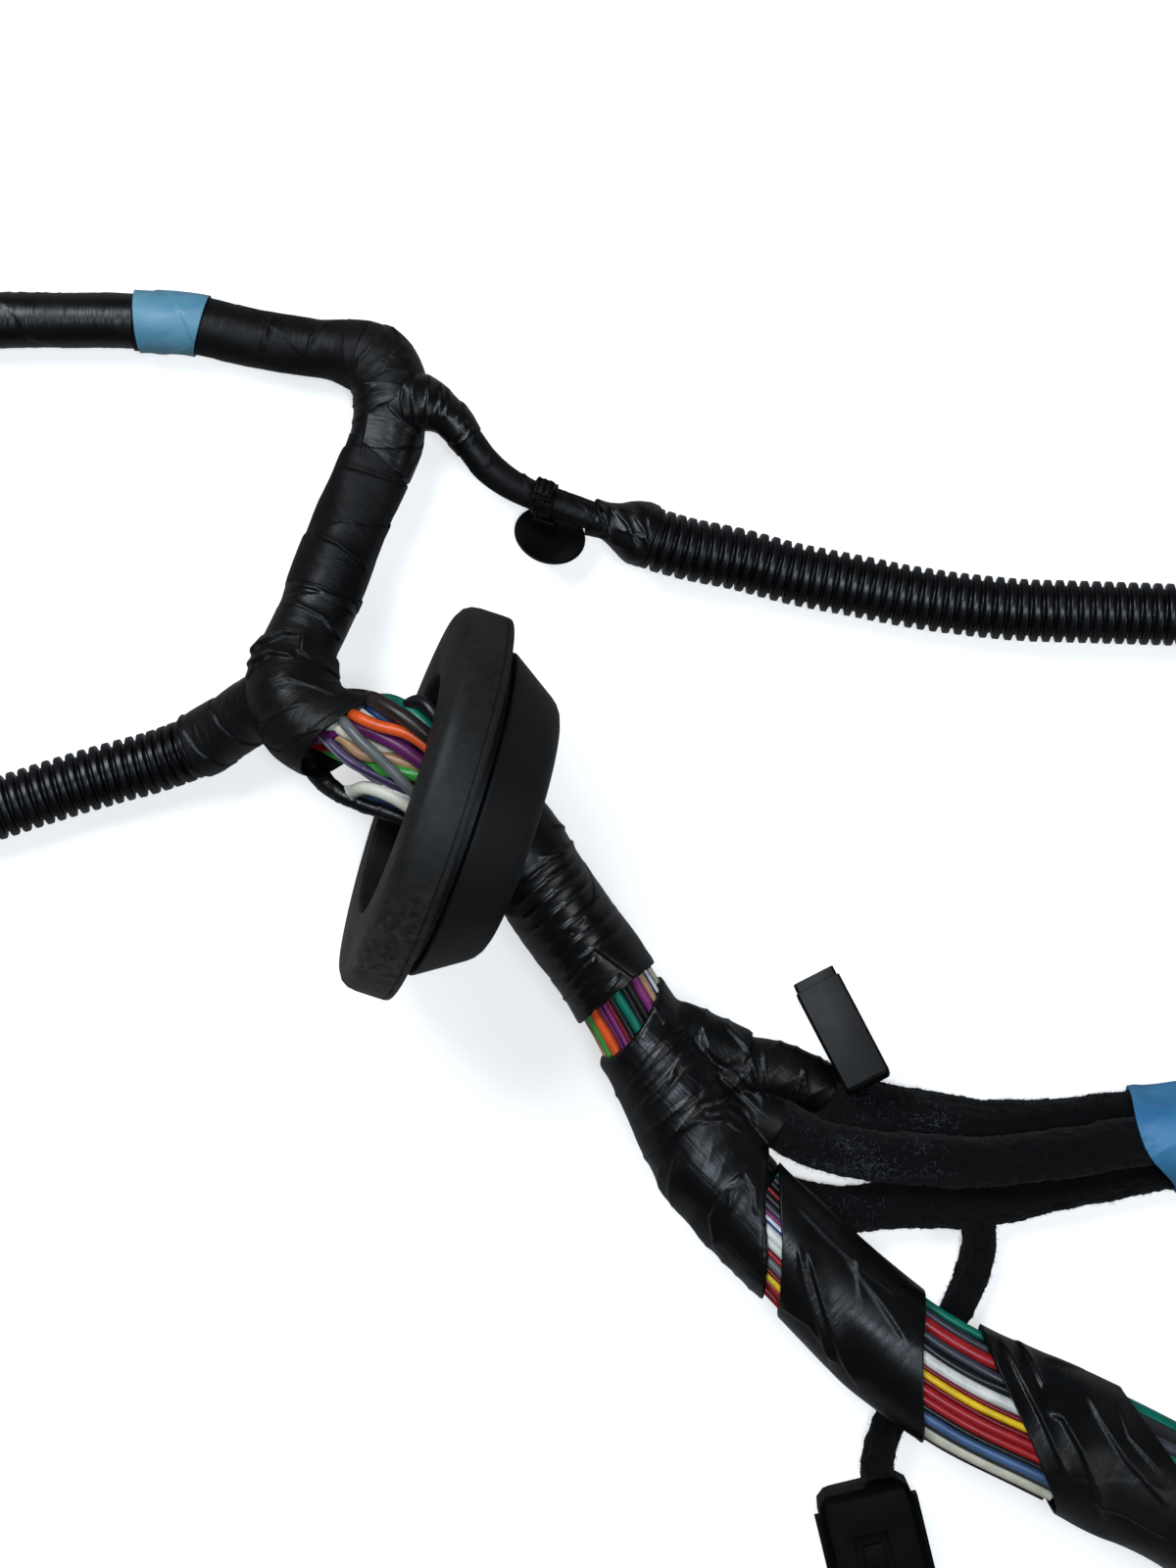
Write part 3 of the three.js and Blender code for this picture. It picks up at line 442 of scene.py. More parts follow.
def fleece_material(name, color, light):
    paint = Paint(name, color, 0.95, 0.08)
    paint.put(paint.bsdf, {"Sheen Weight": 0.05, "Sheen Roughness": 0.6})
    cloud = paint.noise(paint.solid, 420, 6, 0.7, 0.8)
    paint.bump(paint.noise(paint.solid, 260, 4, 0.7, 1.5), 0.0006, 0.7)
    paint.bump(paint.noise(paint.solid, 1700, 4, 0.7), 0.0002, 0.8)
    return paint.done(paint.ramp(cloud, (0.35, srgb(color)), (0.8, srgb(light))), 0.95)


def wire_material(name, color, stripe):
    paint = Paint(name, color, 0.36, 0.45)
    dirt = paint.noise(paint.solid, 160, 5, 0.65)
    shade = paint.ramp(dirt, (0.28, srgb(color, 0.62)), (0.6, srgb(color)))
    if stripe:
        turn = paint.node("Attribute", "Fac", {}, attribute_name="turn")
        shade = paint.mix(paint.node("Math", 0, {0: turn, 1: 1.3, 2: 0.5}, operation="COMPARE"), shade, stripe)
    paint.bump(paint.noise(paint.solid, 500, 3), 0.00005, 0.4)
    return paint.done(shade, paint.spread(dirt, 0.28, 0.45))


RUBBER = rubber_material()
FLEECE_SKIN = fleece_material("fleece", "#050506", "#0c0c0e")
FIBRE = Paint("fleece_fibre", "#0a0a0c", 0.85, 0.1).material
LINT = Paint("pale_lint", "#565b64", 0.8, 0.2).material
# Each wire colour with its slot
COLORS = {
    "teal": ("#006c58", "wire_teal"), "brown": ("#2a1d1b", "wire_brown"), "black": ("#121214", "bundle"),
    "white": ("#dcdcd6", "wire_white"), "blue": ("#24457c", "wire_blue"),
    "orange": ("#ee5a1e", "wire_orange"), "purple": ("#5e1a54", "wire_purple"),
    "magenta": ("#7c2a68", "wire_purple"), "grey": ("#686c6c", "wire_grey_cross"),
    "cream": ("#dcd8c6", "wire_cream"), "tan": ("#b58a66", "wire_tan"),
    "green": ("#3fa23c", "wire_light_green"), "violet": ("#3c2a52", "wire_violet"),
    "white_blue": ("#dadad8", "wire_white_blue"), "ivory": ("#d6d2bc", "wire_pale_cream"),
    "red": ("#a31c22", "wire_red"), "dark_red": ("#740818", "wire_red"), "yellow": ("#ecc212", "wire_orange"),
    "slate": ("#3c3c46", "wire_violet"), "steel": ("#45628c", "wire_blue"),
    "plum": ("#2c1020", "wire_purple"), "blue_grey": ("#14171e", "wire_blue_grey"),
}
STRIPES = {"violet": "#7c7c86", "white_blue": "#26407c"}
WIRES = {key: wire_material("wire_" + key, color, STRIPES.get(key)) for key, (color, _) in COLORS.items()}

# rails and trunk outline
main, side_rail, left_rail, drop_rail = Rail(MAIN), Rail(SIDE), Rail(LEFT), Rail(DROP)
fleece_rails = [Rail(points) for points in FLEECE]

CORNER, ELBOW, MOUTH, NECK = 106.0, 192.0, 223.0, 268.0
WINDOW_ONE, WINDOW_TWO, WINDOW_THREE, TRUNK_END = (319.5, 330.0), (391.5, 396.5), (443.0, 469.0), 526.0
MOUTH_SLOPE = -0.58        # of the elbow's tape edge
LEFT_START, RIGHT_START = 30.3, 75.3
CONDUIT_WIDTH, FLEECE_WIDTH, DROP_WIDTH = 15.8, 12.2, 8.6
FLEECE_END, PLUG_DEPTH = 142.0, 4


def trunk_radius(s):
    upper = 7 + 2.4 * ease(CORNER - 10, CORNER + 8, s)
    elbow = 2.6 * ease(ELBOW - 6, ELBOW + 14, s) - 0.65 * ease(MOUTH - 10, MOUTH, s)
    lower = 11.7 + 1.8 * ease(WINDOW_ONE[1] - 4, WINDOW_TWO[0] - 30, s)
    lower = lower + 3.9 * ease(WINDOW_TWO[0] - 6, WINDOW_THREE[1] + 20, s)
    return np.where(s <= MOUTH, upper + elbow, lower)


def trunk(more):
    return lambda s: trunk_radius(s) + more


def wound(base, pitch, lead, step_height, lumps, fold, fold_angle, fold_size, fine, seed):
    """Radius of spiral-wound tape: overlap steps, soft lumps and slanting folds."""
    def radius(s, th):
        r = base(s) if callable(base) else np.full(s.shape, float(base))
        wave = 0.05 * noise(np.cos(th) * 1.6, np.sin(th) * 1.6, s * 0.12, seed + 7)
        phase = s / pitch + lead * (th + math.pi / 2) / CIRCLE + wave
        r = r + step_height * ((1 - (phase - np.floor(phase))) ** 0.6 - 0.5)
        r = r + lumps * noise(np.cos(th) * 1.3, np.sin(th) * 1.3, s * 0.07, seed)
        away = ease(0, 0.5, th + math.pi / 2) * ease(0, 0.5, 3 * math.pi / 2 - th)
        across = r * th
        ca, sa = math.cos(fold_angle), math.sin(fold_angle)
        u = (s * sa + across * ca) / fold_size[0]
        v = (s * ca - across * sa) / fold_size[1]
        bend = 1.2 * noise(u * 0.9, v * 0.25, 3.3, seed + 3)
        crease = ridged(u, v + bend, 0.5, seed + 11, 3.0)
        where = ease(-0.25, 0.5, noise(s * 0.05, np.cos(th) * 0.9, np.sin(th) * 0.9, seed + 23))
        return r + away * (fold * where * (crease - 0.3) + fine * noise(u * 2.2, v * 2.6, 1.7, seed + 31))
    return radius


# upper branch and upper trunk
BAND = (50.0, 67.0)
UPPER_FOLDS = [
    (0.55, 0.9, 282, 318, 270, 335, 266, 360), (0.75, 1.0, 337, 326, 317, 345, 310, 374),
    (0.4, 0.8, 356, 328, 350, 352, 352, 384),
]
CORNER_FOLDS = [
    (0.6, 0.8, 406, 330, 386, 345, 366, 366, 360, 396), (0.35, 0.5, 424, 352, 398, 354, 372, 372),
    (0.35, 0.5, 427, 366, 400, 364, 372, 384), (0.5, 0.7, 358, 404, 377, 388, 394, 377, 428, 380),
    (0.4, 0.6, 356, 420, 372, 404, 384, 392), (0.6, 0.9, 355, 436, 384, 414, 412, 403, 430, 396),
    (0.5, 0.8, 396, 414, 414, 434, 438, 452), (0.4, 0.7, 412, 404, 424, 420, 440, 428),
    (0.35, 0.8, 376, 420, 372, 445, 368, 472), (0.7, 1.2, 344, 474, 368, 480, 407, 492, 416, 502),
    (0.4, 0.8, 432, 458, 420, 478, 408, 500), (0.7, 1.2, 312, 542, 344, 555, 359, 567, 378, 586),
    (0.5, 0.9, 296, 596, 320, 600, 344, 612, 366, 634), (0.55, 0.9, 281, 615, 305, 618, 329, 630, 352, 660),
    (0.5, 0.9, 304, 645, 320, 664, 338, 690),
]
ELBOW_FOLDS = [
    (1.8, 1.4, 254, 672, 268, 658, 290, 646, 309, 647, 306, 668), (1.1, 1.4, 250, 682, 276, 666, 303, 670),
    (0.6, 1.0, 248, 700, 262, 676, 284, 660), (0.7, 1.4, 300, 660, 326, 676, 356, 700),
    (0.5, 1.0, 286, 690, 318, 700, 350, 712), (0.45, 1.0, 262, 742, 290, 724, 316, 716),
    (0.5, 0.9, 276, 764, 300, 752, 330, 742),
]
sweep("upper_branch_gloss", main, 4.0, BAND[0] - 0.3,
      wound(7.0, 40, 1, 0.2, 0.15, 0.2, 0.15, (22, 3), 0.06, 3), GLOSS, "gloss_tape", "upper_branch", 96, 0.4)
sweep("upper_branch_matte", main, BAND[0] - 0.2, CORNER + 2,
      wound(trunk(0.35), 60, 1, 0.2, 0.2, 0.1, 0.9, (20, 4), 0.04, 5),
      MATTE, "matte_tape", "upper_branch", 108, 0.42, folds=UPPER_FOLDS)
sweep("upper_blue_tape", main, slanted(BAND[0], 0.12, 0.4, 7), slanted(BAND[1], -0.1, -0.3, 7),
      wound(7.95, 26, 1.2, 0.35, 0.1, 0.3, 1.0, (30, 6), 0.05, 8),
      BLUE_BAND, "pale_blue_tape", "upper_blue_band", 96, 0.35, 0.35, 0.35)
for label, start, end, lift, material, slot in (
        ("corner", CORNER - 3, 122.0, 0.0, MATTE_FOLDED, "matte_tape"),
        ("gloss", 119.0, 140.0, 0.15, GLOSS, "gloss_tape"),
        ("middle", 138.2, 176.0, 0.3, MATTE, "matte_tape"),
        ("low", 174.0, ELBOW + 4, 0.1, MATTE_SOFT, "matte_tape")):
    first = label == "corner"
    sweep(f"upper_trunk_{label}_tape", main, start if first else slanted(start, -0.35, 0, 9.4, 0.1, 14), end,
          wound(trunk(lift), 21, 1, 0.5, 0.75, 0.12, 0.7, (22, 4), 0.05, 12),
          material, slot, "upper_trunk", 150, 0.42, None if first else 0.4, folds=CORNER_FOLDS)

# elbow and left branch
sweep("elbow_tape", main, ELBOW, slanted(MOUTH + 0.6, MOUTH_SLOPE, 0.4, 11, 0.25, 5),
      wound(lambda s: trunk(0.3)(np.minimum(s, MOUTH)), 40, -1, 0.3, 0.45, 0.2, 0.8, (20, 4.5), 0.05, 17),
      MATTE_FOLDED, "matte_tape", "elbow_wrap", 170, 0.42, 0.6, 0.9, folds=ELBOW_FOLDS)
sweep("left_branch_wrap", left_rail, 1.0, slanted(30.5, 0, 0, 8, 0.3, 9),
      wound(lambda s: 8.2 + 0.4 * ease(18, 28, s), 11, 1, 0.45, 0.35, 0.3, 0.5, (16, 3), 0.08, 21),
      GLOSS, "gloss_tape", "left_branch_tape", 110, 0.35, 0.4, 0.5)


def conduit(side, rail, start, pitch=3.1, depth=1.45):
    """Loom whose ridges follow the route."""
    def radius(s, th):
        phase = ((s - start) / pitch) % 1.0
        wave = ease(0.1, 0.27, phase) * (1 - ease(0.73, 0.9, phase))
        return CONDUIT_WIDTH / 2 - depth + depth * wave + 0.03 * noise(s * 0.3, np.cos(th), np.sin(th), 5)
    return sweep(side + "_conduit_tube", rail, start, rail.length - PLUG_DEPTH, radius, CONDUIT,
                 "conduit_plastic", side + "_conduit", 56, 0.28)


conduit("left", left_rail, LEFT_START)


# side branch
def side_radius(s):
    return 4.0 + 3.0 * (1 - ease(3, 17, s)) + 0.9 * (1 - ease(17, 24, s)) - 0.4 * ease(30, 46, s)


KNOT_FOLDS = [
    (0.8, 0.9, 414, 386, 409, 406, 414, 430), (0.7, 0.8, 424, 380, 420, 400, 424, 432),
    (0.8, 0.9, 437, 380, 437, 402, 434, 432), (0.6, 0.8, 448, 388, 450, 404, 446, 430),
    (0.5, 0.8, 456, 394, 458, 408, 452, 430), (0.7, 0.9, 476, 428, 470, 440, 458, 452),
    (0.5, 0.5, 482, 434, 476, 446, 466, 454),
]
SIDE_FOLDS = [
    (0.5, 0.6, 503, 458, 499, 466, 497, 478), (0.5, 0.7, 533, 480, 538, 496, 545, 514),
    (0.5, 0.6, 486, 440, 480, 452, 474, 462),
]
SLEEVE_FOLDS = [
    (0.9, 0.5, 606, 514, 612, 526, 618, 546), (0.9, 0.5, 611, 514, 618, 528, 622, 552),
    (0.9, 0.7, 622, 516, 640, 536, 652, 566), (0.8, 0.8, 640, 518, 656, 540, 664, 572),
    (0.5, 0.6, 628, 540, 650, 546, 670, 560),
]
sweep("side_branch_knot", side_rail, 0.5, slanted(23.5, 0.2, 0, 5, 0.2, 13),
      wound(lambda s: side_radius(s) + 0.25, 12, 1, 0.4, 0.35, 0.2, 0.2, (14, 4.0), 0.05, 25),
      GLOSS, "gloss_tape", "side_branch", 96, 0.3, None, 0.3, folds=KNOT_FOLDS)
sweep("side_branch_tape", side_rail, 21.0, 64.0,
      wound(side_radius, 40, 1, 0.2, 0.2, 0.1, 0.7, (14, 3), 0.04, 29),
      MATTE, "matte_tape", "side_branch", 84, 0.3, folds=SIDE_FOLDS)
sweep("conduit_end_tape", side_rail, slanted(60.5, 0, 0, 5, 0.9, 15), slanted(75.8, 0, 0, 8, 0.3, 16),
      wound(lambda s: 8.2 - 3.6 * (1 - ease(63, 74, s)), 30, 1, 0.3, 0.3, 0.3, 0.6, (14, 3), 0.1, 33),
      GLOSS, "matte_tape", "conduit_end_sleeve", 110, 0.3, 0.4, 0.5, folds=SLEEVE_FOLDS)
right_piece = conduit("right", side_rail, RIGHT_START)


def torn_curl():
    """The curled tail of torn tape that stands up from the end of the sleeve."""
    rows, columns = 28, 5
    share = np.linspace(0, 1, rows)[:, None]
    across = np.linspace(-1, 1, columns)[None, :]
    foot = np.array(pixels((616, 524, 21))[0])
    x = foot[0] - 2.3 * np.sin(2.6 * share ** 1.2) * share ** 0.4 + 0.5 * across * (1 - 0.75 * share)
    y = foot[1] + 4.6 * share - 1.5 * share ** 3 + 0 * across
    z = foot[2] + 3.2 * np.sin(share * 2.2) + 0.5 * across * (1 - 0.6 * share)
    front = np.stack([x, y, z], -1)
    back = front + np.array([0.14, 0.05, -0.14])
    make("torn_tape_curl", np.concatenate([front, back[:, ::-1]], 1), grid_faces(rows, 2 * columns), GLOSS,
         "matte_tape", "conduit_end_sleeve")


torn_curl()

# grommet
turn, tilt = math.radians(18.2), math.radians(8)
AXIS = np.array([math.cos(turn) * math.cos(tilt), -math.sin(turn) * math.cos(tilt), -math.sin(tilt)])
FACE = np.array([-46.0, -2.3, 49.2])


def rounded(*profile, steps=4):
    """Rounds the corners of a closed profile given as (radius, depth, corner size)."""
    out = []
    for i, (r, d, corner) in enumerate(profile):
        here = np.array([r, d])
        back = np.array(profile[i - 1][:2]) - here
        on = np.array(profile[(i + 1) % len(profile)][:2]) - here
        size = min(corner, 0.45 * np.linalg.norm(back), 0.45 * np.linalg.norm(on))
        if size < 0.05:
            out.append(here)
            continue
        a, b = here + unit(back) * size, here + unit(on) * size
        for t in np.linspace(0, 1, steps + 1):
            out.append((1 - t) ** 2 * a + 2 * t * (1 - t) * here + t * t * b)
    return np.array(out)


def turned(profile, columns):
    """Angles, radii and depths of a turned shape."""
    th = ring_angles(columns)
    return th, profile[:, :1] + 0 * th, profile[:, 1:] + 0 * th


def grommet():
    profile = rounded(
        (30.4, 0, 1.2), (48.9, 0, 6.0), (49.0, 10.9, 0.1), (48.6, 11.1, 0.05), (48.6, 11.35, 0.05),
        (49.0, 11.5, 0.1), (48.8, 12.9, 1.2), (38.5, 12.9, 0.3), (38.5, 15.6, 0.3), (41.9, 15.6, 2.2),
        (31.9, 31.2, 4.0), (13, 31.2, 0.4), (13, 28.4, 0.4), (27, 28.4, 2), (30.4, 17.4, 2))
    columns = 160
    th, r, d = turned(profile, columns)
    r = r + 0.35 * noise(np.cos(th) * 1.5, np.sin(th) * 1.5, 0.5, 44) * (r > 20)
    aside = unit(np.cross(AXIS, [0, 0, 1.0]))
    points = FACE + aside * (r * np.cos(th))[..., None] + AXIS * d[..., None]
    points = points + np.cross(aside, AXIS) * (r * np.sin(th))[..., None]
    low = np.clip((-points[..., 1] - 22) / 26, 0, 1) * (d < 15.5) + 0.15 * (r > 46)
    make("grommet_body", points, grid_faces(len(profile), columns, closed=True), RUBBER, "grommet_rubber",
         "grommet", dust=np.clip(low, 0, 1))


grommet()


# wires
def wire(name, points, radius, color, node, step=0.8, columns=12):
    rail = Rail(points, 16)
    rows = max(3, int(rail.length / step) + 1)
    th = ring_angles(columns)
    s = np.linspace(0, rail.length, rows)[:, None]
    roll = np.angle(np.exp(1j * (th + s * 0.035)))
    make(name, rail.tube(s, th, np.full((rows, columns), float(radius)))[0], grid_faces(rows, columns),
         WIRES[color], COLORS[color][1], node, turn=roll)


# Open wires between the elbow and the grommet: colour, radius in millimetres, photo pixels with heights
FAN = [
    ("black", 1.7, (392, 742, 38), (410, 724, 46), (430, 716, 51), (446, 733, 53), (466, 772, 50)),
    ("teal", 1.5, (340, 726, 29), (368, 717, 33), (390, 713, 42), (410, 719, 47), (430, 735, 50),
     (448, 754, 50.5), (482, 795, 47)),
    ("brown", 1.85, (322, 716, 36), (354, 709, 43), (380, 713, 49), (405, 727, 53), (428, 744, 54.5),
     (450, 763, 53.5), (486, 802, 48)),
    ("slate", 1.1, (330, 722, 36), (372, 720, 42), (410, 738, 47), (446, 768, 50), (480, 806, 47)),
    ("white", 0.85, (322, 722, 36), (352, 716, 42), (378, 733, 45), (404, 752, 44), (440, 780, 43),
     (480, 812, 42)),
    ("blue", 0.9, (330, 722, 36), (366, 718, 42), (392, 734, 44.5), (416, 752, 44), (470, 800, 42)),
    ("orange", 1.5, (318, 740, 37), (350, 727, 45), (384, 740, 49), (418, 750, 51), (446, 771, 52),
     (484, 808, 48)),
    ("purple", 1.9, (322, 752, 36), (360, 742, 43), (400, 757, 47), (440, 786, 48), (482, 820, 45)),
    ("ivory", 1.5, (312, 738, 34), (338, 740, 42), (356, 749, 43), (392, 765, 42), (436, 792, 41),
     (480, 822, 40)),
    ("tan", 1.5, (318, 752, 33), (346, 751, 40), (370, 770, 42), (402, 775, 44), (438, 790, 46),
     (480, 824, 43)),
    ("dark_red", 1.1, (322, 760, 33), (358, 766, 39), (398, 784, 41), (440, 806, 42), (480, 830, 41)),
    ("green", 1.7, (336, 764, 32), (366, 778, 37), (384, 785, 42), (408, 788, 45), (438, 796, 46),
     (478, 828, 43)),
    ("grey", 1.35, (312, 708, 28), (332, 720, 38), (348, 734, 46.5), (370, 758, 50), (398, 784, 51),
     (430, 817, 49), (470, 846, 44)),
    ("violet", 1.35, (318, 744, 32), (331, 753, 39), (356, 776, 42), (396, 797, 43), (434, 816, 43),
     (474, 842, 41)),
    ("white_blue", 1.35, (318, 780, 22), (334, 800, 25), (352, 807, 31), (370, 804, 37), (392, 804, 41),
     (428, 819, 43), (470, 848, 41)),
    ("cream", 1.7, (318, 782, 22), (336, 803, 24), (354, 810, 31), (374, 804, 39), (402, 814, 42.5),
     (430, 832, 42.5), (472, 856, 40)),
    ("red", 1.0, (320, 786, 21), (340, 806, 24), (364, 818, 28), (400, 823, 35), (426, 838, 38),
     (466, 860, 38)),
    ("steel", 1.0, (320, 784, 22), (340, 804, 25), (362, 814, 28), (384, 814, 34), (418, 829, 37),
     (460, 852, 38)),
]
CAD_WIRES = ["teal", "brown", "white", "blue", "orange", "purple", "cream", "tan", "light_green", "violet",
             "white_blue", "pale_cream", "red"]


def tucked(points, radius):
    """Keeps a wire under the elbow's tape until it has passed the tape's slanting edge."""
    rail = Rail(points, 16)
    p = rail.at(np.arange(0, rail.length, 1.5))[0]
    centre, along, side, _ = (v[0] for v in main.at(np.array([MOUTH])))
    forward, across = (p - centre) @ along, (p - centre) @ side
    under = 1 - ease(0.6, 4.6, forward - 0.6 - MOUTH_SLOPE * across)
    roof = centre[2] + np.sqrt(np.maximum(10.4 ** 2 - across ** 2, 2.0)) - radius - 1.0
    p[:, 2] -= under * np.maximum(0, p[:, 2] - roof)
    return p


for index, (color, radius, *points) in enumerate(FAN):
    inside = (298, 728 + 0.3 * (points[0][1] - 745), 27)
    wire(f"open_wire_{color}", tucked(pixels(inside, *points), radius), radius, color,
         "wire_" + CAD_WIRES[index % len(CAD_WIRES)])
low_grey = pixels((300, 736, 28), (320, 748, 31), (340, 759, 38), (366, 782, 40), (394, 802, 41),
                  (430, 824, 41), (470, 850, 40))
wire("open_wire_grey_low", tucked(low_grey, 1.2), 1.2, "grey", "wire_grey_cross")
strand = pixels((308, 756, 23), (322, 786, 26), (344, 808, 31), (368, 820, 34), (400, 831, 37), (436, 846, 38),
                (474, 866, 38))
sweep("taped_strand_tube", Rail(strand), 0, 44,
      wound(lambda s: 1.9 + 0.7 * (1 - ease(8, 26, s)), 7, 1, 0.2, 0.15, 0.2, 0.4, (9, 2), 0.05, 37),
      GLOSS, "gloss_tape", "taped_strand", 32, 0.4)


def window(label, start, end, text, overlap=7.0, beyond=3.0):
    """Wires side by side round the top of the bundle: colours, each with its share of the visible width."""
    words = text.split()
    entries = [(color, int(share)) for color, share in zip(words[::2], words[1::2])]
    total = sum(share for _, share in entries)
    at = 0.0
    s = np.arange(start - overlap, end + overlap + beyond, 4.0)
    centre, _, side, over = main.at(s)
    r_out = trunk_radius(s) - 1.15
    for index, (color, share) in enumerate(entries):
        across = 2 * (at + share / 2) / total - 1
        at += share
        half = np.maximum(0.55, share / total * r_out * 1.1)
        sway = 0.35 * noise(s * 0.06, index * 1.7, 0.5, 61)
        place = np.clip(across * r_out + sway, half - r_out, r_out - half)
        lift = np.sqrt(np.maximum((r_out - half) ** 2 - place ** 2, 0.0))
        lift = lift + 0.5 * noise(s * 0.05, index * 2.3, 2.5, 62)
        wire(f"window_{label}_{index:02d}_{color}", centre + side * place[:, None] + over * lift[:, None],
             float(half.mean()), color, "bundle_core", 1.2, 14)


window("one", *WINDOW_ONE, "ivory 5 white_blue 5 tan 7 magenta 9 black 6 black 6 teal 9 black 6 dark_red 4 "
       "magenta 5 purple 4 orange 10 green 6 tan 3")
window("two", *WINDOW_TWO, "teal 10 slate 5 black 6 dark_red 5 black 9 slate 7 magenta 4 white_blue 7 "
       "white 11 white 9 red 5 grey 10 dark_red 4 yellow 7 red 8 red 9", beyond=9.0)
window("three", *WINDOW_THREE, "teal 9 slate 7 red 13 slate 9 black 10 white 13 dark_red 5 yellow 8 "
       "dark_red 5 red 11 red 9 black 6 steel 12 ivory 15 plum 6", overlap=9.0, beyond=12.0)
window("four", 500.0, 517.0, "teal 14 slate 8 teal 8 slate 12 black 16 yellow 7 black 16 red 10 ivory 12")
sweep("window_core", main, WINDOW_ONE[0] - 12, TRUNK_END, lambda s, th: trunk_radius(s) - 2.8 + 0 * th,
      WIRES["black"], "bundle", "bundle_core", 32, 3.0)

# lower trunk tape
NECK_FOLDS = [
    (0.9, 1.2, 560, 842, 578, 846, 584, 858, 572, 868, 548, 876), (0.8, 0.9, 584, 868, 560, 880, 532, 902),
    (0.8, 0.7, 590, 876, 562, 894, 528, 922), (0.8, 0.7, 598, 884, 566, 910, 532, 940),
    (0.7, 0.6, 606, 894, 576, 922, 538, 954), (0.5, 1.2, 618, 908, 590, 934, 552, 968),
    (0.5, 1.3, 630, 926, 600, 950, 560, 984), (0.6, 0.8, 640, 940, 606, 966, 566, 1000),
    (0.7, 0.7, 612, 974, 592, 990, 568, 1010), (0.9, 0.8, 606, 966, 640, 992, 650, 1000),
    (0.6, 0.6, 634, 992, 612, 1022, 606, 1034), (0.6, 0.6, 598, 1000, 584, 1014, 570, 1022),
    (0.5, 0.6, 606, 1010, 594, 1024, 582, 1032),
]
BAND_FOLDS = [
    (1.0, 1.8, 823, 1272, 832, 1304, 842, 1336, 862, 1390, 880, 1420),
    (0.9, 1.5, 814, 1268, 820, 1306, 832, 1340, 852, 1400),
    (0.6, 2.2, 806, 1222, 844, 1262, 880, 1296, 926, 1330), (0.6, 2.4, 860, 1280, 900, 1330, 928, 1372),
    (0.5, 1.5, 792, 1330, 826, 1352, 858, 1396), (0.4, 1.5, 846, 1240, 872, 1284, 880, 1340),
]
LOWER_FOLDS = [
    (1.1, 1.8, 1004, 1360, 1022, 1410, 1050, 1470, 1074, 1524),
    (1.0, 1.5, 1018, 1362, 1044, 1412, 1062, 1446, 1096, 1520),
    (0.9, 1.2, 1034, 1364, 1050, 1386, 1066, 1420),
    (1.1, 2.4, 1062, 1438, 1084, 1446, 1104, 1480, 1120, 1520, 1130, 1556),
    (0.8, 2.6, 1104, 1412, 1124, 1450, 1150, 1490, 1196, 1540),
    (0.6, 2.2, 1140, 1430, 1152, 1466, 1188, 1506), (0.6, 2.0, 1060, 1384, 1110, 1398, 1168, 1428),
    (0.6, 1.6, 1110, 1530, 1150, 1546, 1196, 1572),
]
sweep("neck_tape", main, NECK, slanted(318.8, 0.15, 3.0, 12, 0.5, 43),
      wound(trunk(0.1), 40, 1, 0.25, 0.4, 0.14, 0.22, (30, 3.4), 0.04, 41),
      NECK_GLOSS, "gloss_tape", "neck_wrap", 170, 0.45, 0.6, 0.9, folds=NECK_FOLDS)
sweep("window_band_tape", main, slanted(396.4, 1.0, 0, 13.6, 0.15, 44), slanted(443, 0.7, 0, 15.2, 0.1, 45),
      wound(trunk(0.2), 200, -1, 0.2, 0.45, 0.25, 1.15, (60, 9), 0.06, 47),
      MATTE_SOFT, "gloss_tape", "window_band", 200, 0.5, 0.9, 1.0, folds=BAND_FOLDS)


def last_edge(th):
    """The last wrap ends aslant, so its upper side shows the wires again at the edge of the photo."""
    return np.minimum(521 + 1.74 * trunk_radius(515.0) * np.cos(th), TRUNK_END)


sweep("lower_tape", main, slanted(470.8, 1.17, 0, 16.6, 0.15, 46), last_edge,
      wound(trunk(0.2), 200, -1, 0.2, 0.55, 0.3, 1.0, (60, 8), 0.04, 53),
      MATTE_SOFT, "gloss_tape", "lower_wrap", 220, 0.5, 0.9, 0.9, folds=LOWER_FOLDS)

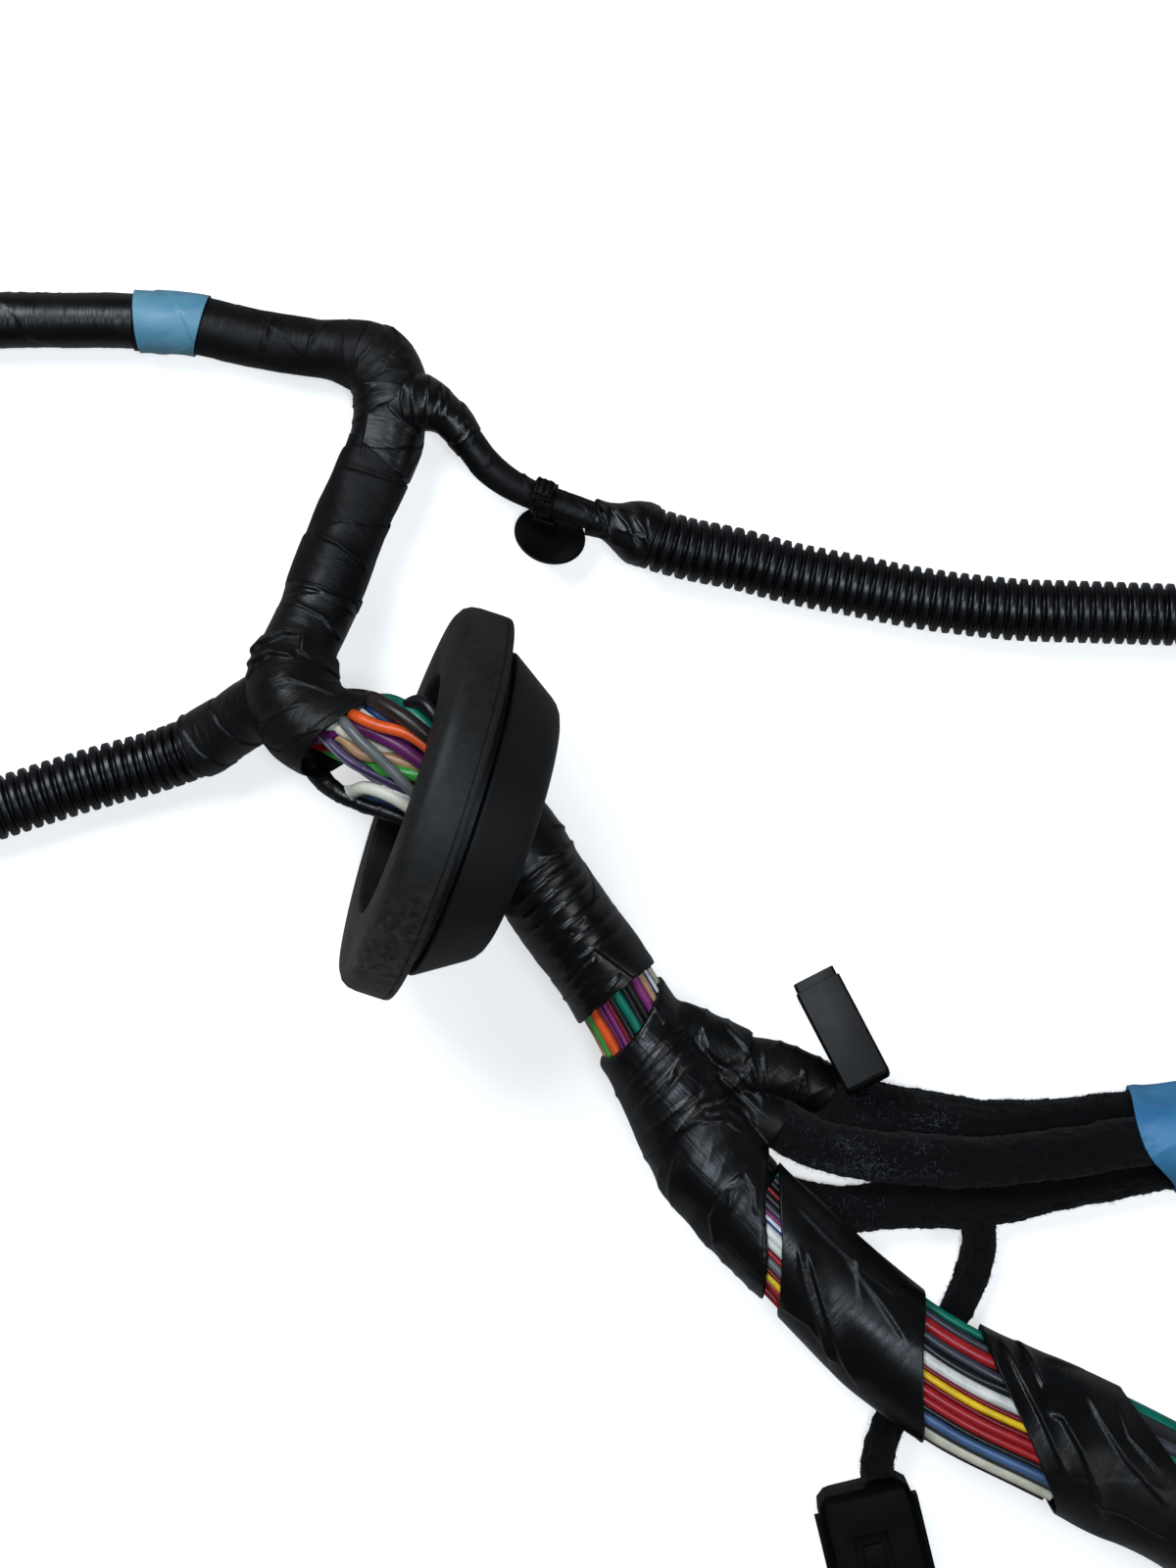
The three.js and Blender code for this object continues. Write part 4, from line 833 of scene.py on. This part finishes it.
# junction wrap: one skin over trunk and stubs
JUNCTION_FOLDS = [
    (0.3, 1.6, 716, 1040, 717, 1088, 715, 1124), (0.9, 1.0, 706, 1036, 669, 1077, 634, 1120),
    (1.0, 1.0, 711, 1050, 680, 1100, 643, 1140), (0.7, 0.7, 694, 1066, 662, 1104, 632, 1126),
    (0.9, 0.9, 690, 1088, 674, 1117, 640, 1150), (0.7, 0.8, 698, 1046, 668, 1066, 640, 1100),
    (1.0, 1.0, 718, 1120, 686, 1157, 656, 1188), (0.8, 0.7, 714, 1112, 684, 1136, 650, 1166),
    (1.1, 0.9, 714, 1128, 742, 1122, 760, 1134, 772, 1152), (0.8, 0.6, 716, 1138, 742, 1133, 762, 1148),
    (0.7, 0.6, 712, 1146, 740, 1144, 758, 1158), (0.7, 1.2, 718, 1086, 743, 1103, 774, 1134, 786, 1144),
    (0.9, 1.0, 732, 1040, 760, 1068, 771, 1100, 778, 1136), (0.4, 1.2, 717, 1040, 721, 1068, 745, 1090),
    (0.6, 0.7, 746, 1086, 764, 1106, 776, 1126), (0.8, 0.6, 778, 1062, 780, 1100, 784, 1126),
    (0.8, 0.6, 820, 1086, 811, 1117, 805, 1138), (0.7, 0.5, 818, 1086, 822, 1111, 815, 1134),
    (0.5, 0.6, 768, 1086, 768, 1104, 772, 1124), (0.6, 1.2, 654, 1174, 686, 1158, 722, 1138),
    (0.6, 1.2, 690, 1172, 684, 1211, 694, 1248), (0.9, 1.2, 760, 1194, 737, 1214, 725, 1243, 733, 1280),
    (0.9, 0.9, 758, 1194, 769, 1214, 771, 1242), (0.8, 0.9, 757, 1196, 745, 1214, 742, 1236),
    (0.6, 1.0, 672, 1190, 676, 1214, 690, 1232), (0.6, 1.4, 700, 1240, 722, 1270, 752, 1298),
    (0.5, 2.0, 684, 1000, 700, 1024, 722, 1040), (0.5, 0.8, 661, 1022, 672, 1034, 678, 1046),
]
WEB = [
    (14, -59, 29.5), (22, -60.5, 29), (30, -64, 28), (38, -67.5, 26.6),
]


def junction():
    columns = 64
    th = angles(columns)
    stubs = [(main, slanted(331.0, 0.49, -1.0, 12.0), slanted(391.0, 1.0, 0, 13.6), trunk(0.1)),
             (fleece_rails[0], 0, 40, 7.0), (fleece_rails[1], 0, 25, 6.9), (fleece_rails[2], 0, 20, 6.4),
             (Rail(WEB), 0, 26, 6.8)]
    verts, faces = [], []
    for rail, start, end, radius in stubs:
        start, end = at_angles(start, th), at_angles(end, th)
        rows = int(np.mean(end - start))
        s = start + (end - start) * np.linspace(0, 1, rows)[:, None]
        first = len(verts)
        verts += list(rail.tube(s, th, at_angles(radius, s))[0].reshape(-1, 3))
        faces += (grid_faces(rows, columns) + first).tolist()
        for ring in (np.arange(columns)[::-1], np.arange(columns) + (rows - 1) * columns):
            ring = ring + first
            hub = len(verts)
            verts.append(np.mean([verts[i] for i in ring], axis=0))
            faces += [[int(a), int(b), hub] for a, b in zip(ring, np.roll(ring, -1))]
    mesh = bpy.data.meshes.new("junction")
    mesh.from_pydata([tuple((v + SHIFT) * MM) for v in verts], [], faces)
    draft = add("junction_draft", mesh)
    remesh = draft.modifiers.new("remesh", "REMESH")
    remesh.mode = "VOXEL"
    remesh.voxel_size = 0.00055
    smooth = draft.modifiers.new("smooth", "SMOOTH")
    smooth.factor, smooth.iterations = 0.5, 16
    skin = bpy.data.meshes.new_from_object(draft.evaluated_get(bpy.context.evaluated_depsgraph_get()))
    bpy.data.objects.remove(draft)
    co, normals = np.empty((2, len(skin.vertices) * 3))
    skin.vertices.foreach_get("co", co)
    skin.vertices.foreach_get("normal", normals)
    p = co.reshape(-1, 3) / MM - SHIFT
    n = normals.reshape(-1, 3)
    u = p[:, 0] * 0.72 + p[:, 1] * 0.69
    v = -p[:, 0] * 0.69 + p[:, 1] * 0.72
    lumps = noise(p[:, 0] / 10, p[:, 1] / 10, p[:, 2] / 10, 75)
    soft = ridged(u / 36, v / 5.5 + noise(u / 26, v / 30, 0.3, 73), p[:, 2] / 25, 74, 2.5)
    pleats = fold_height(p, JUNCTION_FOLDS) * ease(-0.1, 0.35, n[:, 2])
    p = p + n * (0.35 * lumps + 0.5 * soft + 0.9 * pleats)[:, None]
    skin.vertices.foreach_set("co", ((p + SHIFT) * MM).ravel())
    skin.update()
    add_layer(skin, "tape", np.stack([u, v, p[:, 2] * 0.3], -1))
    finished(add("junction_skin", skin), GLOSS, "junction_wrap")


junction()

# fleece branches
rng = np.random.default_rng(12)


def fibres(name, rail, s, th, skin, material, length, width, lean_out, node):
    """Thin two-step ribbons that leave the skin and bend over."""
    count = len(s)
    centre, along, side, over = rail.at(s)
    out = side * np.cos(th)[:, None] + over * np.sin(th)[:, None]
    around = -side * np.sin(th)[:, None] + over * np.cos(th)[:, None]
    root = centre + out * (skin(s, th) - 0.15)[:, None]
    sway = along * rng.normal(0, 0.8, count)[:, None] + around * rng.normal(0, 0.8, count)[:, None]
    lean = unit(out * rng.uniform(*lean_out, count)[:, None] + sway)
    curl = along * rng.normal(0, 0.7, count)[:, None] + around * rng.normal(0, 0.7, count)[:, None]
    length = length[:, None]
    wide = width * unit(np.cross(lean, out + 0.3 * along))
    mid, tip = root + lean * length * 0.5, root + (lean * 0.9 + curl * 0.5) * length
    verts = np.stack([root - wide, root + wide, mid + wide, mid - wide, tip + wide * 0.5, tip - wide * 0.5], 1)
    verts[..., 2] = np.maximum(verts[..., 2], 0.05)
    base = np.arange(count)[:, None] * 6
    faces = np.vstack([base + [0, 1, 2, 3], base + [3, 2, 4, 5]])
    make(name, verts, faces, material, "fleece", node, smooth=False)


def fleece(node, rail, s0, s1, radius, seed, count, lint=0, swell=(0, 0)):
    """A lumpy felted tube with its fibres, and tufts of pale lint near its start."""
    def skin(s, th):
        r = radius + 0.6 * noise(np.cos(th) * 1.4, np.sin(th) * 1.4, s * 0.07, seed)
        r = r + 0.35 * noise(np.cos(th) * 3.5, np.sin(th) * 3.5, s * 0.4, seed + 1)
        r = r + 0.2 * noise(np.cos(th) * 11, np.sin(th) * 11, s * 1.6, seed + 2)
        near = 1 - ease(s0 + 12, s0 + 62, s)
        r = r + near * (swell[0] * (0.5 - 0.5 * np.cos(th)) + swell[1] * (0.5 + 0.5 * np.cos(th)))
        phase = (s / 26 + (th + math.pi / 2) / CIRCLE) % 1.0
        return r + 0.3 * ((1 - phase) ** 0.6 - 0.5)
    name = node + "_tube"
    piece = sweep(name, rail, s0, s1, skin, FLEECE_SKIN, "fleece", node, 72, 0.6)
    s, th = rng.uniform(s0, s1, count), rng.uniform(-0.5 * math.pi, 1.5 * math.pi, count)
    fibres(name + "_fibres", rail, s, th, skin, FIBRE, rng.uniform(0.5, 1.5, count), 0.05, (0.25, 0.9), node)
    if lint:
        tufts = 16
        tuft = rng.integers(0, tufts, lint)
        s = s0 + 3 + rng.gamma(1.6, 12, tufts)[tuft] + rng.normal(0, 3.2, lint)
        th = rng.normal(0.5 * math.pi, 0.5, tufts)[tuft] + rng.normal(0, 0.2, lint)
        fibres(name + "_lint", rail, np.clip(s, s0 + 1, s1 - 1), th, skin, LINT,
               rng.uniform(0.4, 1.9, lint), 0.03, (0.05, 0.3), node)
    return piece


fleece_ends = []
for rail, where, start, seed, lint, swell in zip(
        fleece_rails, ("top", "middle", "bottom"), (38, 23, 18), (81, 85, 89), (420, 1000, 260),
        ((0.3, 2.8), (1.8, -1.3), (-0.3, 0))):
    piece = fleece("fleece_" + where, rail, start, FLEECE_END, FLEECE_WIDTH / 2, seed, 9000, lint, swell)
    fleece_ends.append((piece, rail, start))
drop_piece = fleece("drop_branch", drop_rail, 0, drop_rail.length, 4.2, 93, 3600)


def blue_wrap():
    """The flat wide tape that gathers the fleece branches; its near edge folds inwards."""
    columns, rows = 160, 70
    middle = np.array([0, -88.9, 11.1])
    th = ring_angles(columns)
    up = np.sin(th)
    start = 136.4 + 1.6 * (1 - np.cos(th)) ** 2.9
    x = start + (161.0 - start) * np.linspace(0, 1, rows)[:, None]
    grow = ease(0, 1, (x - 138) / 24)
    wide = (13.2 + 1.9 * grow) * (1 - np.where(up > 0, 0.14 * np.abs(np.sin(2 * th)), 0.0))
    high = np.where(up > 0, 14.6 + 0.4 * grow, 10.7)
    fold = ridged(x / 16 + np.cos(th) * 0.8, (np.cos(th) * 15 - x * 0.6) / 5, 0.5, 97, 3.0)
    extra = 0.35 * fold + 0.4 * noise(x / 8, np.cos(th) * 2, np.sin(th) * 2, 98)
    y = -89.1 + 0.02 * (x - 140) + (wide + extra) * np.cos(th)
    pts = np.stack(np.broadcast_arrays(x, y, middle[2] + (high + extra) * up), -1)
    inner = (pts[:1] - middle) * np.array([1, 0.9, 0.9]) + middle
    pts = np.concatenate([inner + np.array([4, 0, 0]), inner, pts])
    pts[..., 2] = np.maximum(pts[..., 2], 0.1)
    make("fleece_blue_tape", pts, grid_faces(rows + 2, columns), BLUE_WRAP, "deep_blue_tape",
         "fleece_blue_wrap")


blue_wrap()


# connectors
def bevel(mesh, offset, segments, profile, sharp):
    """Merges flat faces and rounds the edges off."""
    bm = bmesh.new()
    bm.from_mesh(mesh)
    bmesh.ops.remove_doubles(bm, verts=bm.verts, dist=1e-6)
    bmesh.ops.dissolve_limit(bm, angle_limit=math.radians(1), verts=bm.verts, edges=bm.edges)
    edges = [e for e in bm.edges if len(e.link_faces) == 2 and e.calc_face_angle(0) > math.radians(25)]
    bmesh.ops.bevel(bm, geom=edges, offset=offset * MM, segments=segments, profile=profile, affect="EDGES",
                    clamp_overlap=True)
    bmesh.ops.triangulate(bm, faces=[f for f in bm.faces if len(f.verts) > 4])
    bm.to_mesh(mesh)
    bm.free()
    mesh.polygons.foreach_set("use_smooth", np.ones(len(mesh.polygons), bool))
    mesh.set_sharp_from_angle(angle=math.radians(sharp))


def softened(node):
    """A copy of a CAD housing with its edges rounded off."""
    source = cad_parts[node]
    mesh = source.data.copy()
    mesh.transform(source.matrix_world)
    bevel(mesh, 0.4, 2, 0.6, 38)
    material = DARK_HOUSING if node == "drop_connector" else HOUSING
    return finished(add(node + "_shell", mesh), material, node)


PLUGS = {node: softened(node) for node in (
    "upper_branch_plug", "left_conduit_plug", "right_conduit_plug", "fleece_plug", "trunk_plug",
    "drop_connector", "block_connector")}
for index, points in enumerate(BLOCK_WIRES, 1):
    wire(f"block_lead_{index}", points, 1.1, "blue_grey", f"block_wire_{index}", 0.6)


# cords
def free_cord(rail, s0, s1):
    stops = np.linspace(s0, s1, max(3, int((s1 - s0) / 4.0) + 1))
    path = [tuple(v) for v in (rail.at(stops)[0] + SHIFT) * MM]


free_cord(side_rail, RIGHT_START, side_rail.length - PLUG_DEPTH)
for piece, rail, start in fleece_ends:
    free_cord(rail, start, FLEECE_END)
free_cord(drop_rail, 0, drop_rail.length)


# cable tie and umbrella clip
TIE_AT, TIE_WIDTH, DISC_RADIUS = 48.0, 4.6, 9.3


def placed(points, centre, x_axis, z_axis):
    """Points of a thing's own axes, x along x_axis and z towards z_axis, set down at centre."""
    x = unit(x_axis)
    z = unit(z_axis - x * np.dot(z_axis, x))
    return centre + points[..., :1] * x + points[..., 1:2] * np.cross(z, x) + points[..., 2:] * z


def block(name, node, size, centre, x_axis, z_axis, offset, taper=1.0):
    corners = np.array([[sx, sy, sz] for sx in (-1, 1) for sy in (-1, 1) for sz in (-1, 1)], float)
    corners[corners[:, 2] > 0, :2] *= taper
    faces = np.array([[0, 1, 3, 2], [4, 6, 7, 5], [0, 4, 5, 1], [2, 3, 7, 6], [0, 2, 6, 4], [1, 5, 7, 3]])
    obj = make(name, placed(corners * np.array(size) / 2, centre, x_axis, z_axis), faces, HOUSING,
               "housing_plastic", node)
    bevel(obj.data, offset, 3, 0.5, 50)


def tie_and_clip():
    centre, along, side, over = (v[0] for v in side_rail.at(np.array([TIE_AT])))
    stalk, head = unit(np.array([0.06, -0.61, -0.79])), unit(np.array([-0.04, 0.36, 0.93]))
    ring = float(side_radius(TIE_AT)) + 0.35

    def band(s, th):
        edge = 1 - ease(TIE_WIDTH / 2 - 0.5, TIE_WIDTH / 2, np.abs(s - TIE_AT))
        return ring + 0.75 * edge + 0.12 * np.cos(s * 4.4)
    sweep("tie_strap", side_rail, TIE_AT - TIE_WIDTH / 2, TIE_AT + TIE_WIDTH / 2, band, HOUSING,
          "housing_plastic", "cable_tie", 64, 0.15, 0.3, 0.3)
    block("tie_head", "cable_tie", (5.4, 5.2, 3.6), centre + head * (ring + 1.9), along, head, 0.5, 0.86)
    for k in (-1, 0, 1):
        rib = centre + head * (ring + 3.8) + along * k * 1.5
        block(f"tie_rib_{k + 1}", "cable_tie", (0.75, 4.2, 0.8), rib, along, head, 0.2)
    profile = rounded((0.01, 0.9, 0), (5.0, 0.7, 1), (DISC_RADIUS - 0.4, -0.9, 0.3), (DISC_RADIUS, -1.5, 0.4),
                      (DISC_RADIUS - 0.7, -1.7, 0.3), (5.0, -0.2, 1), (0.01, 0.0, 0))
    columns = 72
    th, r, d = turned(profile, columns)
    disc = np.stack([r * np.cos(th), r * np.sin(th), -d], -1)
    disc = placed(disc, centre + stalk * (ring + 10.8), along, -stalk)
    make("umbrella_disc", disc, grid_faces(len(profile), columns), HOUSING, "housing_plastic", "umbrella_clip")
    for name, size, down, offset, taper in (
            ("stalk", (3.4, 2.2, 8.4), 5.0, 0.4, 1.0), ("web", (7.2, 1.1, 6.2), 5.9, 0.3, 0.62),
            ("saddle", (5.6, 6.4, 1.6), 1.5, 0.4, 1.0)):
        middle = centre + stalk * (ring + down)
        block("clip_" + name, "umbrella_clip", size, middle, along, -stalk, offset, taper)


tie_and_clip()

# floor and light
FLOOR_HALF = 3.0
floor_mesh = bpy.data.meshes.new("floor")
corners = [(x * FLOOR_HALF, y * FLOOR_HALF, 0) for x, y in ((-1, -1), (1, -1), (1, 1), (-1, 1))]
floor_mesh.from_pydata(corners, [], [(0, 1, 2, 3)])
floor = add("floor", floor_mesh)
floor_paint = Paint("floor", "#e7e7e7", 0.9, 0.1)
# The floor is pale to the camera and duller in reflections, as the tape in the photo shows.
seen = floor_paint.node("LightPath", "Is Camera Ray", {})
for socket, mirrored, direct in (("Base Color", 0.16, 0.8), ("Emission Strength", 0.1, 0.58)):
    floor_paint.put(floor_paint.bsdf, {socket: floor_paint.spread(seen, mirrored, direct, 0.0, 1.0)})
floor_mesh.materials.append(floor_paint.material)


def area(name, location, size, power, color=(1, 1, 1)):
    """A soft lamp that faces the middle of the floor."""
    data = bpy.data.lights.new(name, "AREA")
    data.shape = "RECTANGLE"
    data.size, data.size_y = size
    data.energy = power
    data.color = color
    light = add(name, data)
    light.location = location
    light.rotation_euler = (-Vector(location)).to_track_quat("-Z", "Y").to_euler()


area("key", (-0.6, 0.8, 1.3), (0.8, 0.55), 19, (0.86, 0.93, 1))
area("strip", (0.15, -0.05, 1.7), (0.45, 0.28), 10, (0.74, 0.87, 1))
area("fill", (1.2, -0.5, 1.0), (0.6, 0.4), 4)
world = bpy.data.worlds.new("world")
bpy.context.scene.world = world
world.use_nodes = True
background = world.node_tree.nodes["Background"].inputs
background["Color"].default_value = (1, 1, 1, 1)
background["Strength"].default_value = 0.06
bpy.context.scene.view_settings.view_transform = "Standard"
